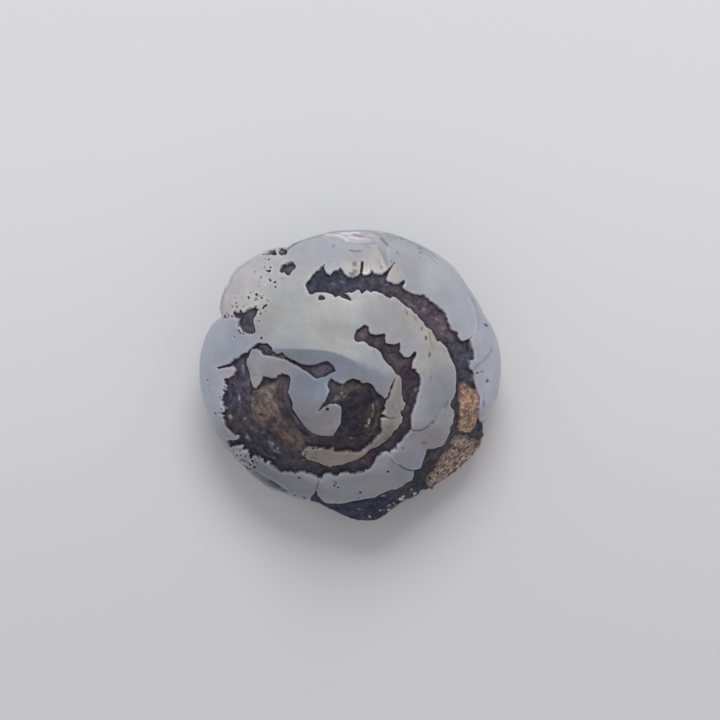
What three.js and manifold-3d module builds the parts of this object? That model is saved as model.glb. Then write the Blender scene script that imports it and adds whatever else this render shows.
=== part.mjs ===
// A land snail shell replaced by blue-grey chalcedony, with dark matrix along its sutures and a sandy
// plug in its mouth. It is one natural piece, and it lies on its mouth side with the apex up.
// Millimetres, +Z up. X runs across the shell, Y away from the side that the apex leans to.
import * as THREE from "three";
import { mergeVertices } from "three/addons/utils/BufferGeometryUtils.js";
import Module from "manifold-3d";

// Driving dimensions of the coil
const APEX = new THREE.Vector3(-1.8, -5.0, 16.7);
const COIL_TILT = THREE.MathUtils.degToRad(24);
const LEAN_DIRECTION = THREE.MathUtils.degToRad(255);
const WHORL_PITCH = 3.45;
const WHORL_GROWTH = 0.13;
const WHORL_TURNS = 4.27;
const LAST_WHORL_START = 3.6;
const LAST_WHORL_DROP = 1.6;
const MOUTH_START = 3.9;
const MOUTH_NARROWING = 1.2;
const WHORL_COUNT = 5;

// Where a whorl's middle lies below the apex, from its outer radius, and the dip inside the first whorl
const LEVEL_FACTOR = 0.5;
const LEVEL_POWER = 1.13;
const NUCLEUS_DIP = 0.7;

// A whorl's oval section, as shares of its outer radius and a margin
const SECTION_WIDTH = 0.36;
const SECTION_HEIGHT = 0.37;
const SECTION_MARGIN = 0.3;

// Sutures soften with growth, from a least share at the apex to the full softness
const SUTURE_SOFTNESS = 1.8;
const SUTURE_LEAST = 0.15;
const SUTURE_GROWTH_TURNS = 3;

// Ovals round the coil's axis: the nucleus at the apex, and the matrix that fills the umbilicus
const NUCLEUS = { level: -2.4, halfWidth: 3.5, halfHeight: 2.45, softness: 1.2 };
const UMBILICUS = { level: -12, halfWidth: 11, halfHeight: 6.6, softness: 3 };

// The matrix plug that carries on past the mouth, tapering by a length for each turn
const PLUG = {
  start: 4.1,
  end: 4.62,
  inset: 0.6,
  taper: 8,
  lift: 0.2,
  width: 0.33,
  height: 0.36,
  softness: 1,
};

// Driving dimensions of the whole body
const MATRIX_SOFTNESS = 1.0;
const EDGE_SOFTNESS = 0.8;
const EDGE_ALLOWANCE = 0.35;
const BAND_DEPTH = 0.4;
const BAND_FLOOR = 6.0;
const BAND_ROOF = 22.0;

// How the mesh is laid over the body
const BODY_CENTRE = new THREE.Vector3(0, 0, 7);
const SURFACE_DETAIL = 17;
const REACH = 24;
const MARCH_STEP = 0.4;
const BISECTIONS = 22;
const FULL_TURN = 2 * Math.PI;

// How far the whorls run beyond or inside the ideal coil, every 30 degrees from +X, as plan ratios
const PLAN_RATIOS = [0.96, 0.97, 1.01, 1.0, 0.955, 0.96, 0.995, 0.965, 0.965, 0.955, 0.965, 0.965];
const RATIO_START = 5;
const RATIO_SPAN = 8;

// The plan outline, clockwise from the notch on the left side
const OUTLINE = [
  [-12.7, 5.8], [-13.0, 7.0], [-12.7, 8.3], [-12.1, 9.1], [-11.8, 10.0], [-11.0, 10.9], [-9.8, 11.7],
  [-8.6, 12.3], [-7.3, 12.7], [-6.2, 12.7], [-5.4, 13.3], [-4.0, 13.8], [-2.5, 14.2], [-0.5, 14.4],
  [1.5, 14.5], [3.6, 14.3], [5.2, 13.8], [7.0, 13.0], [8.7, 12.1], [10.2, 10.9], [11.4, 9.3],
  [12.4, 7.9], [13.1, 6.6], [13.7, 5.4], [14.3, 4.5], [14.9, 2.8], [15.1, 0.9], [15.0, -0.9],
  [14.5, -2.5], [13.8, -3.8], [13.1, -4.7], [13.3, -5.9], [12.9, -7.2], [11.9, -8.4], [10.5, -9.4],
  [9.1, -10.3], [8.0, -11.2], [7.0, -11.5], [6.4, -12.2], [5.2, -12.7], [3.5, -13.9], [2.4, -14.5],
  [0.8, -14.5], [-1.0, -13.8], [-2.5, -13.1], [-3.9, -12.4], [-5.2, -12.4], [-6.9, -11.6],
  [-8.5, -11.1], [-10.0, -9.8], [-11.5, -8.5], [-12.7, -7.1], [-13.6, -5.5], [-14.5, -3.5],
  [-14.9, -1.5], [-15.1, 0.7], [-14.9, 2.7], [-14.2, 4.4], [-13.4, 5.3],
];

// Lumps beside the coil: centre and half sizes
const UPPER_LOBE = { centre: [-7.6, 7.9, 8.6], half: [6.0, 5.2, 5.4], softness: 2.0 };
const MATRIX_KEEL = { centre: [2.2, -9.9, 4.2], half: [6.4, 6.0, 4.7], softness: 1.5 };

// The outer dark band, from its start above the apex round the right side to the mouth
const OUTER_BAND = [
  [-4.5, 9.1], [-3.8, 10.0], [-3.0, 10.9], [-2.0, 10.3], [-1.2, 10.5], [0.2, 9.8], [1.0, 11.0],
  [1.5, 10.0], [2.2, 10.4], [3.2, 10.1], [4.5, 11.3], [3.8, 9.5], [5.0, 9.1], [5.5, 9.4], [6.3, 8.2],
  [7.6, 7.9], [9.2, 6.6], [10.1, 4.7], [11.0, 4.1], [12.2, 3.8], [12.5, 2.2], [12.0, 1.0], [12.6, -1.1],
  [13.0, -2.8], [12.9, -4.4], [11.2, -6.2], [9.5, -7.0], [10.4, -4.6], [10.0, -2.9], [10.7, -1.0],
  [10.1, 1.8], [9.1, 3.4], [7.7, 4.8], [6.5, 6.3], [4.8, 7.6], [2.8, 8.4], [1.0, 8.6], [-0.6, 8.1],
  [-1.7, 8.1], [-4.1, 8.2],
];

// The middle dark band, from above the apex round the right, the lower side and up the left
const MIDDLE_BAND = [
  [1.5, 5.1], [2.5, 4.0], [3.6, 4.0], [4.8, 3.1], [5.4, 1.8], [6.4, 2.2], [6.2, 0.6], [7.1, -0.6],
  [6.6, -3.0], [6.1, -5.4], [5.0, -7.0], [3.8, -7.8], [2.4, -8.8], [1.0, -9.9], [-1.8, -10.1],
  [-2.9, -10.5], [-5.0, -9.8], [-7.3, -9.6], [-8.8, -8.8], [-10.2, -7.7], [-12.3, -6.8], [-11.4, -6.1],
  [-12.6, -4.5], [-12.6, -3.2], [-12.9, -2.6], [-12.6, -1.0], [-11.9, 0.1], [-12.0, 1.0],
  [-10.8, 2.2], [-9.3, 3.2], [-8.1, 2.8], [-7.0, 2.0], [-5.4, 1.5], [-4.2, 1.0], [-2.5, 1.4],
  [-1.4, 0.3], [-3.4, -0.4], [-5.0, 0.7], [-7.5, 1.8], [-9.5, 2.7], [-10.4, 1.5], [-9.9, -0.6],
  [-9.5, -1.4], [-8.8, -0.1], [-7.3, 0.0], [-6.0, 0.0], [-6.2, -1.8], [-5.6, -3.8], [-4.0, -5.6],
  [-2.2, -6.1], [-1.2, -5.4], [-0.9, -3.2], [-2.0, -2.9], [-3.2, -3.7], [-2.1, -1.5], [-1.9, -0.3],
  [-0.4, -0.9], [1.0, -0.6], [2.2, -1.0], [3.5, -2.4], [3.2, -4.3], [2.4, -6.6], [0.7, -8.0],
  [-2.2, -7.5], [-4.9, -7.9], [-3.2, -8.9], [-1.2, -9.1], [1.2, -8.3], [3.3, -6.8], [5.3, -4.3],
  [5.3, -2.6], [5.2, -0.4], [3.8, 1.2], [2.3, 2.8], [0.6, 3.4], [0.7, 4.5],
];

// The dark window beside the notch
const NOTCH_WINDOW = [
  [-11.7, 5.9], [-10.5, 6.1], [-9.8, 6.7], [-9.2, 6.5], [-9.6, 4.5], [-10.5, 4.2], [-11.3, 5.1],
];

const MATERIAL = new THREE.MeshStandardMaterial({
  color: 0x8f939c,
  roughness: 0.35,
  metalness: 0,
  flatShading: true,
});

// The coil's own frame: +Z is the coil axis, and its origin is the apex
const leanAxis = new THREE.Vector3(-Math.sin(LEAN_DIRECTION), Math.cos(LEAN_DIRECTION), 0);
const toCoil = new THREE.Matrix4().makeRotationAxis(leanAxis, COIL_TILT).invert();

const clamp = THREE.MathUtils.clamp;

function softMin(a, b, softness) {
  const overlap = Math.max(softness - Math.abs(a - b), 0) / softness;
  return Math.min(a, b) - (overlap * overlap * softness) / 4;
}

function softMax(a, b, softness) {
  return -softMin(-a, -b, softness);
}

function smoothStep(value) {
  const t = clamp(value, 0, 1);
  return t * t * (3 - 2 * t);
}

// Radius of a whorl's outer edge, n turns from the apex
function whorlRadius(n) {
  return WHORL_PITCH * n + WHORL_GROWTH * n * n - MOUTH_NARROWING * Math.max(n - MOUTH_START, 0);
}

// Height of a whorl's middle below the apex
function whorlLevel(n) {
  const drop = LAST_WHORL_DROP * Math.max(n - LAST_WHORL_START, 0);
  const dip = NUCLEUS_DIP * Math.max(1 - n, 0) ** 2;
  return -LEVEL_FACTOR * whorlRadius(n) ** LEVEL_POWER - drop - dip;
}

// Distance to a whorl's oval section: outer edge at radius outer, half width a, half height b
function ovalSection(r, z, outer, level, a, b) {
  return (Math.hypot((r - outer + a) / a, (z - level) / b) - 1) * Math.min(a, b);
}

// Distance to a flattened ball on the coil's axis
function axisOval(place, oval) {
  const ratio = Math.hypot(place.r / oval.halfWidth, (place.z - oval.level) / oval.halfHeight);
  return (ratio - 1) * oval.halfHeight;
}

function ellipsoid(point, lump) {
  const [cx, cy, cz] = lump.centre;
  const [hx, hy, hz] = lump.half;
  const ratio = Math.hypot((point.x - cx) / hx, (point.y - cy) / hy, (point.z - cz) / hz);
  return (ratio - 1) * Math.min(hx, hy, hz);
}

// A point in the coil frame, as radius, height and clockwise turn from +Y between 0 and 1
function coilPlace(point) {
  const local = point.clone().sub(APEX).applyMatrix4(toCoil);
  const turn = 0.25 - Math.atan2(local.y, local.x) / FULL_TURN;
  return { r: Math.hypot(local.x, local.y), z: local.z, clock: turn - Math.floor(turn) };
}

// Arc length from a turn of the coil, positive past it
function arcPast(n, turns, r) {
  return (n - turns) * FULL_TURN * r;
}

// Distance to the coiled tube, whorl by whorl, with a smooth nucleus at the apex
function whorls(place) {
  let distance = REACH;
  for (let turn = 0; turn < WHORL_COUNT; turn += 1) {
    const n = turn + place.clock;
    const held = Math.min(n, WHORL_TURNS);
    const outer = whorlRadius(held);
    const halfWidth = SECTION_WIDTH * outer + SECTION_MARGIN;
    const halfHeight = SECTION_HEIGHT * outer + SECTION_MARGIN + Math.max(held - LAST_WHORL_START, 0);
    let section = ovalSection(place.r, place.z, outer, whorlLevel(held), halfWidth, halfHeight);
    if (n > MOUTH_START) section = softMax(section, arcPast(n, WHORL_TURNS, place.r), EDGE_SOFTNESS);
    const softness = SUTURE_SOFTNESS * clamp(n / SUTURE_GROWTH_TURNS, SUTURE_LEAST, 1);
    distance = softMin(distance, section, softness);
  }
  return softMin(distance, axisOval(place, NUCLEUS), NUCLEUS.softness);
}

// Distance to the matrix: the plug that carries on from the mouth, the keel below it and the umbilicus
function matrix(point, place) {
  const n = WHORL_COUNT - 1 + place.clock;
  const outer = whorlRadius(WHORL_TURNS) - PLUG.inset - PLUG.taper * Math.max(n - WHORL_TURNS, 0);
  const level = whorlLevel(WHORL_TURNS) + PLUG.lift;
  let plug = ovalSection(place.r, place.z, outer, level, PLUG.width * outer, PLUG.height * outer);
  plug = softMax(plug, arcPast(n, PLUG.end, place.r), PLUG.softness);
  plug = softMax(plug, -arcPast(n, PLUG.start, place.r), PLUG.softness);
  const lump = softMin(plug, ellipsoid(point, MATRIX_KEEL), MATRIX_KEEL.softness);
  return softMin(lump, axisOval(place, UMBILICUS), UMBILICUS.softness);
}

// Plan ratio at an angle from +X
function planRatio(angle) {
  const count = PLAN_RATIOS.length;
  const step = ((angle / FULL_TURN) * count + count) % count;
  const index = Math.floor(step);
  const blend = smoothStep(step - index);
  return PLAN_RATIOS[index] * (1 - blend) + PLAN_RATIOS[(index + 1) % count] * blend;
}

// Signed distance to the plan outline, negative inside
function outlineDistance(x, y) {
  let nearest = REACH;
  let inside = false;
  OUTLINE.forEach(([ax, ay], index) => {
    const [bx, by] = OUTLINE[(index + 1) % OUTLINE.length];
    const ex = bx - ax;
    const ey = by - ay;
    const along = clamp(((x - ax) * ex + (y - ay) * ey) / (ex * ex + ey * ey), 0, 1);
    nearest = Math.min(nearest, Math.hypot(x - ax - along * ex, y - ay - along * ey));
    if (ay > y !== by > y && x < (ex * (y - ay)) / ey + ax) inside = !inside;
  });
  return inside ? -nearest : nearest;
}

// Signed distance to the whole body before its flat rest is cut
function bodyDistance(point) {
  const reach = Math.hypot(point.x, point.y);
  const spread = planRatio(Math.atan2(point.y, point.x)) - 1;
  const ratio = 1 + spread * smoothStep((reach - RATIO_START) / RATIO_SPAN);
  const inner = new THREE.Vector3(point.x / ratio, point.y / ratio, point.z);
  const place = coilPlace(inner);
  const shell = softMin(whorls(place), ellipsoid(inner, UPPER_LOBE), UPPER_LOBE.softness);
  const solid = softMin(shell, matrix(inner, place), MATRIX_SOFTNESS);
  return softMax(solid, outlineDistance(point.x, point.y) - EDGE_ALLOWANCE, EDGE_SOFTNESS);
}

// How far the body's surface lies from its centre along a direction
function surfaceReach(direction) {
  const distanceAt = (reach) => bodyDistance(BODY_CENTRE.clone().addScaledVector(direction, reach));
  let outside = REACH;
  while (outside > MARCH_STEP && distanceAt(outside - MARCH_STEP) > 0) outside -= MARCH_STEP;
  let inside = outside - MARCH_STEP;
  for (let count = 0; count < BISECTIONS; count += 1) {
    const middle = (outside + inside) / 2;
    if (distanceAt(middle) > 0) outside = middle;
    else inside = middle;
  }
  return outside;
}

// A ball of triangles drawn onto the body's surface, and the same ball drawn in by the bands' depth
function drapedBalls() {
  const ball = new THREE.IcosahedronGeometry(1, SURFACE_DETAIL);
  ball.deleteAttribute("normal");
  ball.deleteAttribute("uv");
  const skin = mergeVertices(ball);
  const core = skin.clone();
  const positions = skin.attributes.position;
  const direction = new THREE.Vector3();
  const point = new THREE.Vector3();
  for (let index = 0; index < positions.count; index += 1) {
    direction.fromBufferAttribute(positions, index).normalize();
    point.copy(BODY_CENTRE).addScaledVector(direction, surfaceReach(direction));
    positions.setXYZ(index, point.x, point.y, point.z);
    point.addScaledVector(direction, -BAND_DEPTH);
    core.attributes.position.setXYZ(index, point.x, point.y, point.z);
  }
  return { skin, core };
}

// A plan outline raised into a prism that reaches the upper side only
function bandPrism(outline) {
  const shape = new THREE.Shape(outline.map(([x, y]) => new THREE.Vector2(x, y)));
  const prism = new THREE.ExtrudeGeometry(shape, { depth: BAND_ROOF - BAND_FLOOR, bevelEnabled: false });
  prism.translate(0, 0, BAND_FLOOR);
  return prism;
}

const wasm = await Module();
wasm.setup();

function toSolid(source) {
  const bare = source.clone();
  bare.deleteAttribute("normal");
  bare.deleteAttribute("uv");
  const merged = mergeVertices(bare);
  return new wasm.Manifold(
    new wasm.Mesh({
      numProp: 3,
      vertProperties: new Float32Array(merged.attributes.position.array),
      triVerts: new Uint32Array(merged.index.array),
    }),
  );
}

function toGeometry(solid) {
  const mesh = solid.getMesh();
  const geometry = new THREE.BufferGeometry();
  geometry.setAttribute("position", new THREE.BufferAttribute(mesh.vertProperties, 3));
  geometry.setIndex(new THREE.BufferAttribute(mesh.triVerts, 1));
  return geometry;
}

// The body with its flat rest, and the dark bands let into its upper side
function shellSolid() {
  const below = new THREE.BoxGeometry(2 * REACH, 2 * REACH, REACH);
  below.translate(0, 0, -REACH / 2);
  const { skin, core } = drapedBalls();
  const kept = toSolid(core);
  let body = toSolid(skin).subtract(toSolid(below));
  for (const outline of [OUTER_BAND, MIDDLE_BAND, NOTCH_WINDOW]) {
    body = body.subtract(toSolid(bandPrism(outline)).subtract(kept));
  }
  return body;
}

const shell = new THREE.Mesh(toGeometry(shellSolid()), MATERIAL);
shell.name = "snail_shell";

const model = new THREE.Group();
model.add(shell);

export default model;
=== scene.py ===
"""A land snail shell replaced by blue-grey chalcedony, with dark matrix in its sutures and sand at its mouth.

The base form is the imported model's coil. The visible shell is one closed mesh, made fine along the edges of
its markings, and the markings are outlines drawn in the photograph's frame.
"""

import bpy
import numpy as np
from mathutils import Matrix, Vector


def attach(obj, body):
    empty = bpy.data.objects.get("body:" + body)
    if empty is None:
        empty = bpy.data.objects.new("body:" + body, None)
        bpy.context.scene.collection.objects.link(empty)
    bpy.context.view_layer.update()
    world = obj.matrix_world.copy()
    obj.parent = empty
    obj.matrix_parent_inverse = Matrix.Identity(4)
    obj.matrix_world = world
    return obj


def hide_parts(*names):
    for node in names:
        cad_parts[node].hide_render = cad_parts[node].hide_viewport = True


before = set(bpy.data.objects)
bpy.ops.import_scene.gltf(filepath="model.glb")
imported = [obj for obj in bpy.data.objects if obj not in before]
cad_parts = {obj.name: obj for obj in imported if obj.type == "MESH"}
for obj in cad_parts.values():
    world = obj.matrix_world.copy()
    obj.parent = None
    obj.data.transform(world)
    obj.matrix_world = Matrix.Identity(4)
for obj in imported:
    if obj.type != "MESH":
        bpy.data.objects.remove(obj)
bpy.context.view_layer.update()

# The photograph's frame: the picture is 720 pixels square, seen from straight above
PICTURE_PIXELS = 720
PIXELS_PER_MM = 10.0
ORIGIN_PIXEL = np.array([350.0, 375.0])
CAMERA_HEIGHT = 750.0
SHARP_HEIGHT = 8.5
SENSOR_WIDTH = 36.0
NEAREST_SEEN = 0.05
FARTHEST_SEEN = 10.0
MILLIMETRE = 0.001
FULL_TURN = 2 * np.pi
QUARTER_TURN = 0.25

# The coil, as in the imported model, in millimetres and turns
APEX = np.array([-1.8, -5.0, 16.7])
COIL_TILT = np.radians(24)
LEAN_DIRECTION = np.radians(255)
WHORL_PITCH = 3.45
WHORL_GROWTH = 0.13
WHORL_TURNS = 4.27
LAST_WHORL_START = 3.6
LAST_WHORL_DROP = 1.6
MOUTH_START = 3.9
MOUTH_NARROWING = 1.2
WHORL_COUNT = 5
LEVEL_FACTOR = 0.5
LEVEL_POWER = 1.13
NUCLEUS_DIP = 0.7
SECTION_WIDTH = 0.36
SECTION_HEIGHT = 0.37
SECTION_MARGIN = 0.3
SUTURE_SOFTNESS = 1.8
SUTURE_LEAST = 0.15
SUTURE_GROWTH_TURNS = 3
MATRIX_SOFTNESS = 1.0
EDGE_SOFTNESS = 0.8
PLAN_RATIOS = np.array([0.96, 0.97, 1.01, 1.0, 0.955, 0.96, 0.995, 0.965, 0.965, 0.955, 0.965, 0.965])
RATIO_RISE = (5.0, 13.0)

# Lumps as centre, half sizes and softness, and ovals round the coil's axis as level, half sizes and softness
UPPER_LOBE = ((-7.6, 7.9, 8.6), (6.0, 5.2, 5.4), 2.0)
MATRIX_KEEL = ((2.2, -9.9, 4.2), (6.4, 6.0, 4.7), 1.5)
NUCLEUS = (-2.4, 3.5, 2.45, 1.2)
UMBILICUS = (-12, 11, 6.6, 3)

# The matrix plug past the mouth, in turns, millimetres and shares of its outer radius
PLUG_START = 4.1
PLUG_END = 4.62
PLUG_INSET = 0.6
PLUG_TAPER = 8
PLUG_LIFT = 0.2
PLUG_WIDTH = 0.33
PLUG_HEIGHT = 0.36
PLUG_SOFTNESS = 1

# How the photograph's outline trims the body, sharply at the rim and softly below it, in millimetres
OUTLINE_SOFTNESS = 0.35
OUTLINE_ALLOWANCE = 0.1
OUTLINE_BLUR_CELLS = 12
OUTLINE_UNDERCUT = 0.45
FLOOR_SOFTNESS = 0.25
RIM_DIRECTIONS = 180
RIM_NEIGHBOURS = 3
RIM_STEP = 0.1
RIM_INSET = 0.3
RIM_FADE = (0.9, 3.9)

# How the mesh is laid over the body, in millimetres
BODY_CENTRE = np.array([0.0, 0.0, 7.0])
REACH = 24.0
MARCH_STEP = 0.5
BISECTIONS = 15
FIRST_SPLITS = 4
REFINING_PASSES = 6
SPLIT_FACTOR = 1.4
FINEST_EDGE = 0.088
FINEST_REACH = 0.12
LINE_EDGE = 0.13
LINE_REACH = 0.15
MARKING_EDGE = 0.14
UPPER_EDGE = 0.23
LOWER_EDGE = 0.5
LOWER_HEIGHTS = (5.0, 2.0)
EDGE_GROWTH = 0.34
MAP_HALF_WIDTH = 17.5
MAP_STEP = 0.08

# The smaller faces of a face with 0 to 3 cut edges, from its corners 0 to 2 and its edges' middles 3 to 5
SPLIT_FACES = [
    [(0, 1, 2)],
    [(0, 3, 2), (3, 1, 2)],
    [(3, 1, 4), (0, 3, 4), (0, 4, 2)],
    [(0, 3, 5), (3, 1, 4), (5, 4, 2), (3, 4, 5)],
]

# Repeatable noise: what mixes a cell's numbers, and each noise's size in millimetres, octaves and seed
CELL_FACTORS = (374761393, 668265263, 2147483647)
SEED_FACTOR = 1274126177
MIXING_SHIFTS = (13, 16)
HASH_MASK = 0xFFFF
HIDDEN_EDGE_NOISE = (1.6, 3, 11)
HIDDEN_SAND_NOISE = (3.0, 2, 31)
MARKING_NOISE = (0.4, 2, 71)
BROWN_EDGE_NOISE = (0.8, 3, 41)
GREY_EDGE_NOISE = (0.7, 3, 43)
MATRIX_RELIEF_NOISE = (0.9, 3, 3)
SAND_RELIEF_NOISE = (0.5, 2, 17)
STONE_RELIEF_NOISE = (3.2, 2, 23)
STRAND_NOISE = (0.55, 3, 91)
FRECKLE_SIZE = 4.0
FRECKLE_SEED = 61
SHAKE_SIZE = 0.3
SHAKE_SEEDS = (51, 52, 53)
SHAKE_REACH = 0.08

# Where the picture's markings hold: by how far the surface faces up, and by the share below the rim
UPPER_FACING = (-0.35, -0.15)
RIM_HOLD = (0.5, 0.1)
FLAT_FACING = (0.03, 0.13)
SPOT_FACING = 0.02
OUT_OF_REACH = 4.0

# Edges of the markings and of what isn't seen in the picture, in millimetres
MARKING_FUZZ = 0.075
EDGE_FUZZ = 0.14
BROWN_FUZZ = 0.3
GREY_FUZZ = 0.25
HIDDEN_FUZZ = 0.5
HIDDEN_REACH = 3.0
HIDDEN_SAND_START = 3.0
HIDDEN_SAND_SLOPE = 0.6
HIDDEN_SAND_FUZZ = 2.0
MOUTH_DIRECTION = np.array([1.0, 0.4])
MOUTH_SIDE_LEAST = -6.0

# Relief, in millimetres, and the share of it that steep places keep
BAND_DEPTH = 0.38
BAND_WALL = 0.16
BAND_SLOPE = (0.3, -0.1)
STEEP_DEPTH = 0.1
DEPTH_FACING = (0.0, 0.4)
MATRIX_ROUGHNESS = 0.16
SAND_HEIGHT = 0.28
SAND_ROUGHNESS = 0.20
SAND_WALL = 0.2
STONE_ROUGHNESS = 0.05
CRACK_DEPTH = 0.12
CRACK_WALL = 0.1
CRACK_STAIN = 0.12
FOOT_HEIGHT = 0.6

# How soft patches, streaks and light specks fade outwards, in shares of their half sizes
PATCH_FADE = (1.45, 0.55)
STREAK_FADE = (1.4, 0.3)
SPARK_FADE = (1.3, 0.6)

# The edge of the bluish inner whorls' painted shade, crisp at the left and soft at the right, in millimetres
# and pixels
INNER_EDGE = 0.12
INNER_EDGE_GROWTH = 1.1
INNER_EDGE_SOFTENS = (345.0, 375.0)
INNER_ARC_END = 365.0

# Strands along the whorls in the matrix, and the freckles that the picture doesn't show
STRAND_RADIUS = 2.2
STRAND_CENTRE = 0.1
STRAND_CONTRAST = 0.16
BROWN_STRAND_CONTRAST = 0.2
HIDDEN_FRECKLES = 0.25
HIDDEN_FRECKLE_RISE = (0.0, 0.5)

# Outlines traced in picture pixels, with x to the right and y down
SILHOUETTE = [
    (223, 317.5), (221.6, 313), (220.4, 308), (220.7, 303), (222, 297), (223.4, 293), (225, 288),
    (228, 285), (230, 283), (230.1, 279), (232, 275), (234.4, 271.5), (238.7, 267), (243, 264),
    (251, 259.3), (257.3, 255.7), (262.3, 253), (268, 250.4), (275, 248.3), (283, 247.6), (288.4, 248.4),
    (293.7, 243.4), (300, 240.4), (310, 237), (320, 234.5), (332, 231.7), (345, 230.7), (360, 230),
    (375, 230.5), (388, 232), (403, 238), (410, 241), (420, 245), (430, 250), (440, 256.4), (450, 264.3),
    (457.3, 272), (463, 280.7), (467.8, 288.3), (472, 294.4), (477.2, 300.8), (480.5, 307.2),
    (482.6, 314.2), (485.8, 319.4), (489.3, 322.8), (492.2, 328), (496.5, 338), (499.5, 349), (501, 362),
    (500.7, 373), (499, 386), (497, 395), (493, 405), (488, 413), (481, 421.5), (482.3, 430), (483.1, 435),
    (481.6, 440.7), (479.8, 445.7), (477, 450), (473, 454.6), (468.7, 459), (463.7, 463.6), (458, 467.1),
    (452.3, 470.7), (446, 475), (441.6, 478), (436.6, 480.4), (433, 484.3), (430, 487), (426.5, 489),
    (420.5, 489.3), (418.7, 493.6), (414.4, 496.4), (408.7, 498.6), (404.4, 500), (400.9, 502.1),
    (395.1, 505.7), (388.4, 510), (385, 513.6), (380, 517.1), (374.4, 519.6), (366, 520), (358, 519.6),
    (352.3, 518), (344.4, 514.6), (337.3, 511.4), (329.4, 508.2), (324.4, 506.1), (320, 503), (315, 500),
    (309.8, 499.3), (303, 500), (297.3, 498.7), (291, 496.4), (285, 493.2), (279.4, 490.4), (273, 489.6),
    (267.3, 486.8), (262.3, 483.2), (258.7, 479.6), (253.8, 476.4), (250, 472.5), (246.2, 468.6),
    (243.7, 465.7), (239.4, 462.1), (235.9, 460.4), (233.4, 457.1), (232.3, 453.2), (228, 451),
    (224.4, 447.1), (221.6, 443), (219.4, 439.6), (217.3, 436.1), (215.5, 433.5), (213.5, 428.4),
    (212, 423.6), (210.4, 419.4), (209, 417.5), (206.3, 413), (205, 409.5), (203, 400), (201.2, 390),
    (200, 380), (199.3, 370), (199.6, 360), (200.8, 350), (203.6, 340), (208.5, 330), (214.5, 323),
    (221.5, 318),
]
OUTER_BAND = [
    (304.8, 284.5), (308, 280.4), (312, 275), (315.5, 270.6), (318.5, 269.3), (320, 266.5), (324.5, 263.5),
    (323.8, 268), (326.5, 272.5), (329.8, 275), (332.3, 272), (334.4, 270), (338, 270.1), (340, 267.3),
    (342.3, 270.4), (344.8, 274.3), (348, 276.4), (352, 277), (357.3, 275.7), (360.1, 273), (360.9, 267),
    (361.2, 261.5), (362.6, 260), (363.7, 262), (362.9, 268), (361.9, 273), (364, 275.4), (368.4, 275),
    (371, 273.2), (371.8, 269.7), (373.8, 272.5), (378, 274.1), (382.3, 274), (386, 271.4), (390, 267.4),
    (395, 262), (391, 268.6), (388.6, 272.5), (386.6, 278), (386.9, 281.1), (390.1, 281.8), (394.4, 283.9),
    (399.2, 283.9), (402.3, 281), (404, 279.3), (405.5, 281), (403.4, 285), (403, 287.5), (405, 289.6),
    (408.4, 291.4), (413.4, 293.6), (420, 295), (424.4, 293.9), (426.2, 296.4), (429.8, 300), (434.4, 303),
    (438.4, 306.4), (442.3, 309.3), (445.5, 312), (447.3, 317), (449.1, 323), (451.2, 328), (452.3, 330),
    (456.2, 331.4), (458.7, 331.8), (459.1, 336.4), (460.2, 340), (463.7, 341.4), (467.3, 340.4),
    (470.5, 338.6), (473, 336), (471.2, 340.4), (472, 344.3), (474, 348.6), (475, 353), (474.4, 360),
    (471, 360.4), (470.5, 364.3), (470.5, 369.3), (473.4, 371.4), (474.4, 375), (475, 380), (475.9, 385.7),
    (478, 390.7), (480, 396.4), (480.5, 403), (479.8, 408.6), (478.7, 413.6), (479.4, 418), (481, 421.4),
    (487, 430), (488, 445), (478, 460), (455, 478), (440, 487), (426, 497), (400, 512), (380, 526),
    (355, 526), (325, 513), (310, 503), (310.5, 498.2), (314.4, 494.3), (316.2, 490.4), (316.6, 493),
    (318.4, 497.1), (321.6, 501.1), (325.1, 503.6), (332.3, 504.4), (340, 504.3), (346.6, 503.6),
    (352.3, 501.8), (362.3, 500), (368.7, 499), (375, 498), (381, 494.6), (386, 492), (391.6, 490),
    (396.6, 490), (400, 488), (405, 484.6), (409, 482), (413, 480.7), (414.4, 476.4), (414.8, 470.7),
    (419, 470), (421.9, 468.2), (422.3, 464.3), (424.1, 459.3), (426.2, 454.3), (427.6, 449.6), (430, 450),
    (436, 449), (441.6, 447), (444.8, 445), (447.3, 440), (449.8, 434.3), (450.5, 429.3), (453.4, 423),
    (454.4, 416.4), (454.4, 410.7), (452.3, 408.6), (450.5, 404.3), (452.3, 400.7), (454.8, 398),
    (456.6, 392), (456.6, 385.7), (457.1, 378.6), (456.6, 371.4), (455.5, 366.4), (453, 361.4),
    (450.5, 357), (448.7, 352), (447.6, 348), (444.4, 344.6), (441, 340.7), (438.7, 341.8), (436, 338.6),
    (433.7, 334.3), (432, 329.5), (429.4, 329.3), (427, 327), (423, 321.4), (419.1, 316.4), (415.1, 312.5),
    (410.3, 308.3), (406.4, 305.9), (402.3, 302.1), (397.8, 298.8), (393.8, 296.1), (390.1, 298.2),
    (387, 296.4), (383, 294), (378.3, 291.8), (374.4, 290.4), (371.2, 291.8), (367.3, 290), (364, 291.8),
    (361.5, 293.2), (359.8, 289.6), (357, 289.3), (354.4, 291.1), (351.2, 293), (349.4, 291.8),
    (344.4, 293), (347.3, 294), (350.1, 297.5), (351.9, 301.1), (347.3, 299.3), (341, 296.8), (340, 295),
    (336.6, 296.1), (334.4, 297.5), (333.4, 295.4), (331.2, 293.7), (326.2, 292.3), (320, 291.8),
    (315.5, 292.1), (312.3, 293.9), (308.7, 293.6), (306.2, 288.6),
]
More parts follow.
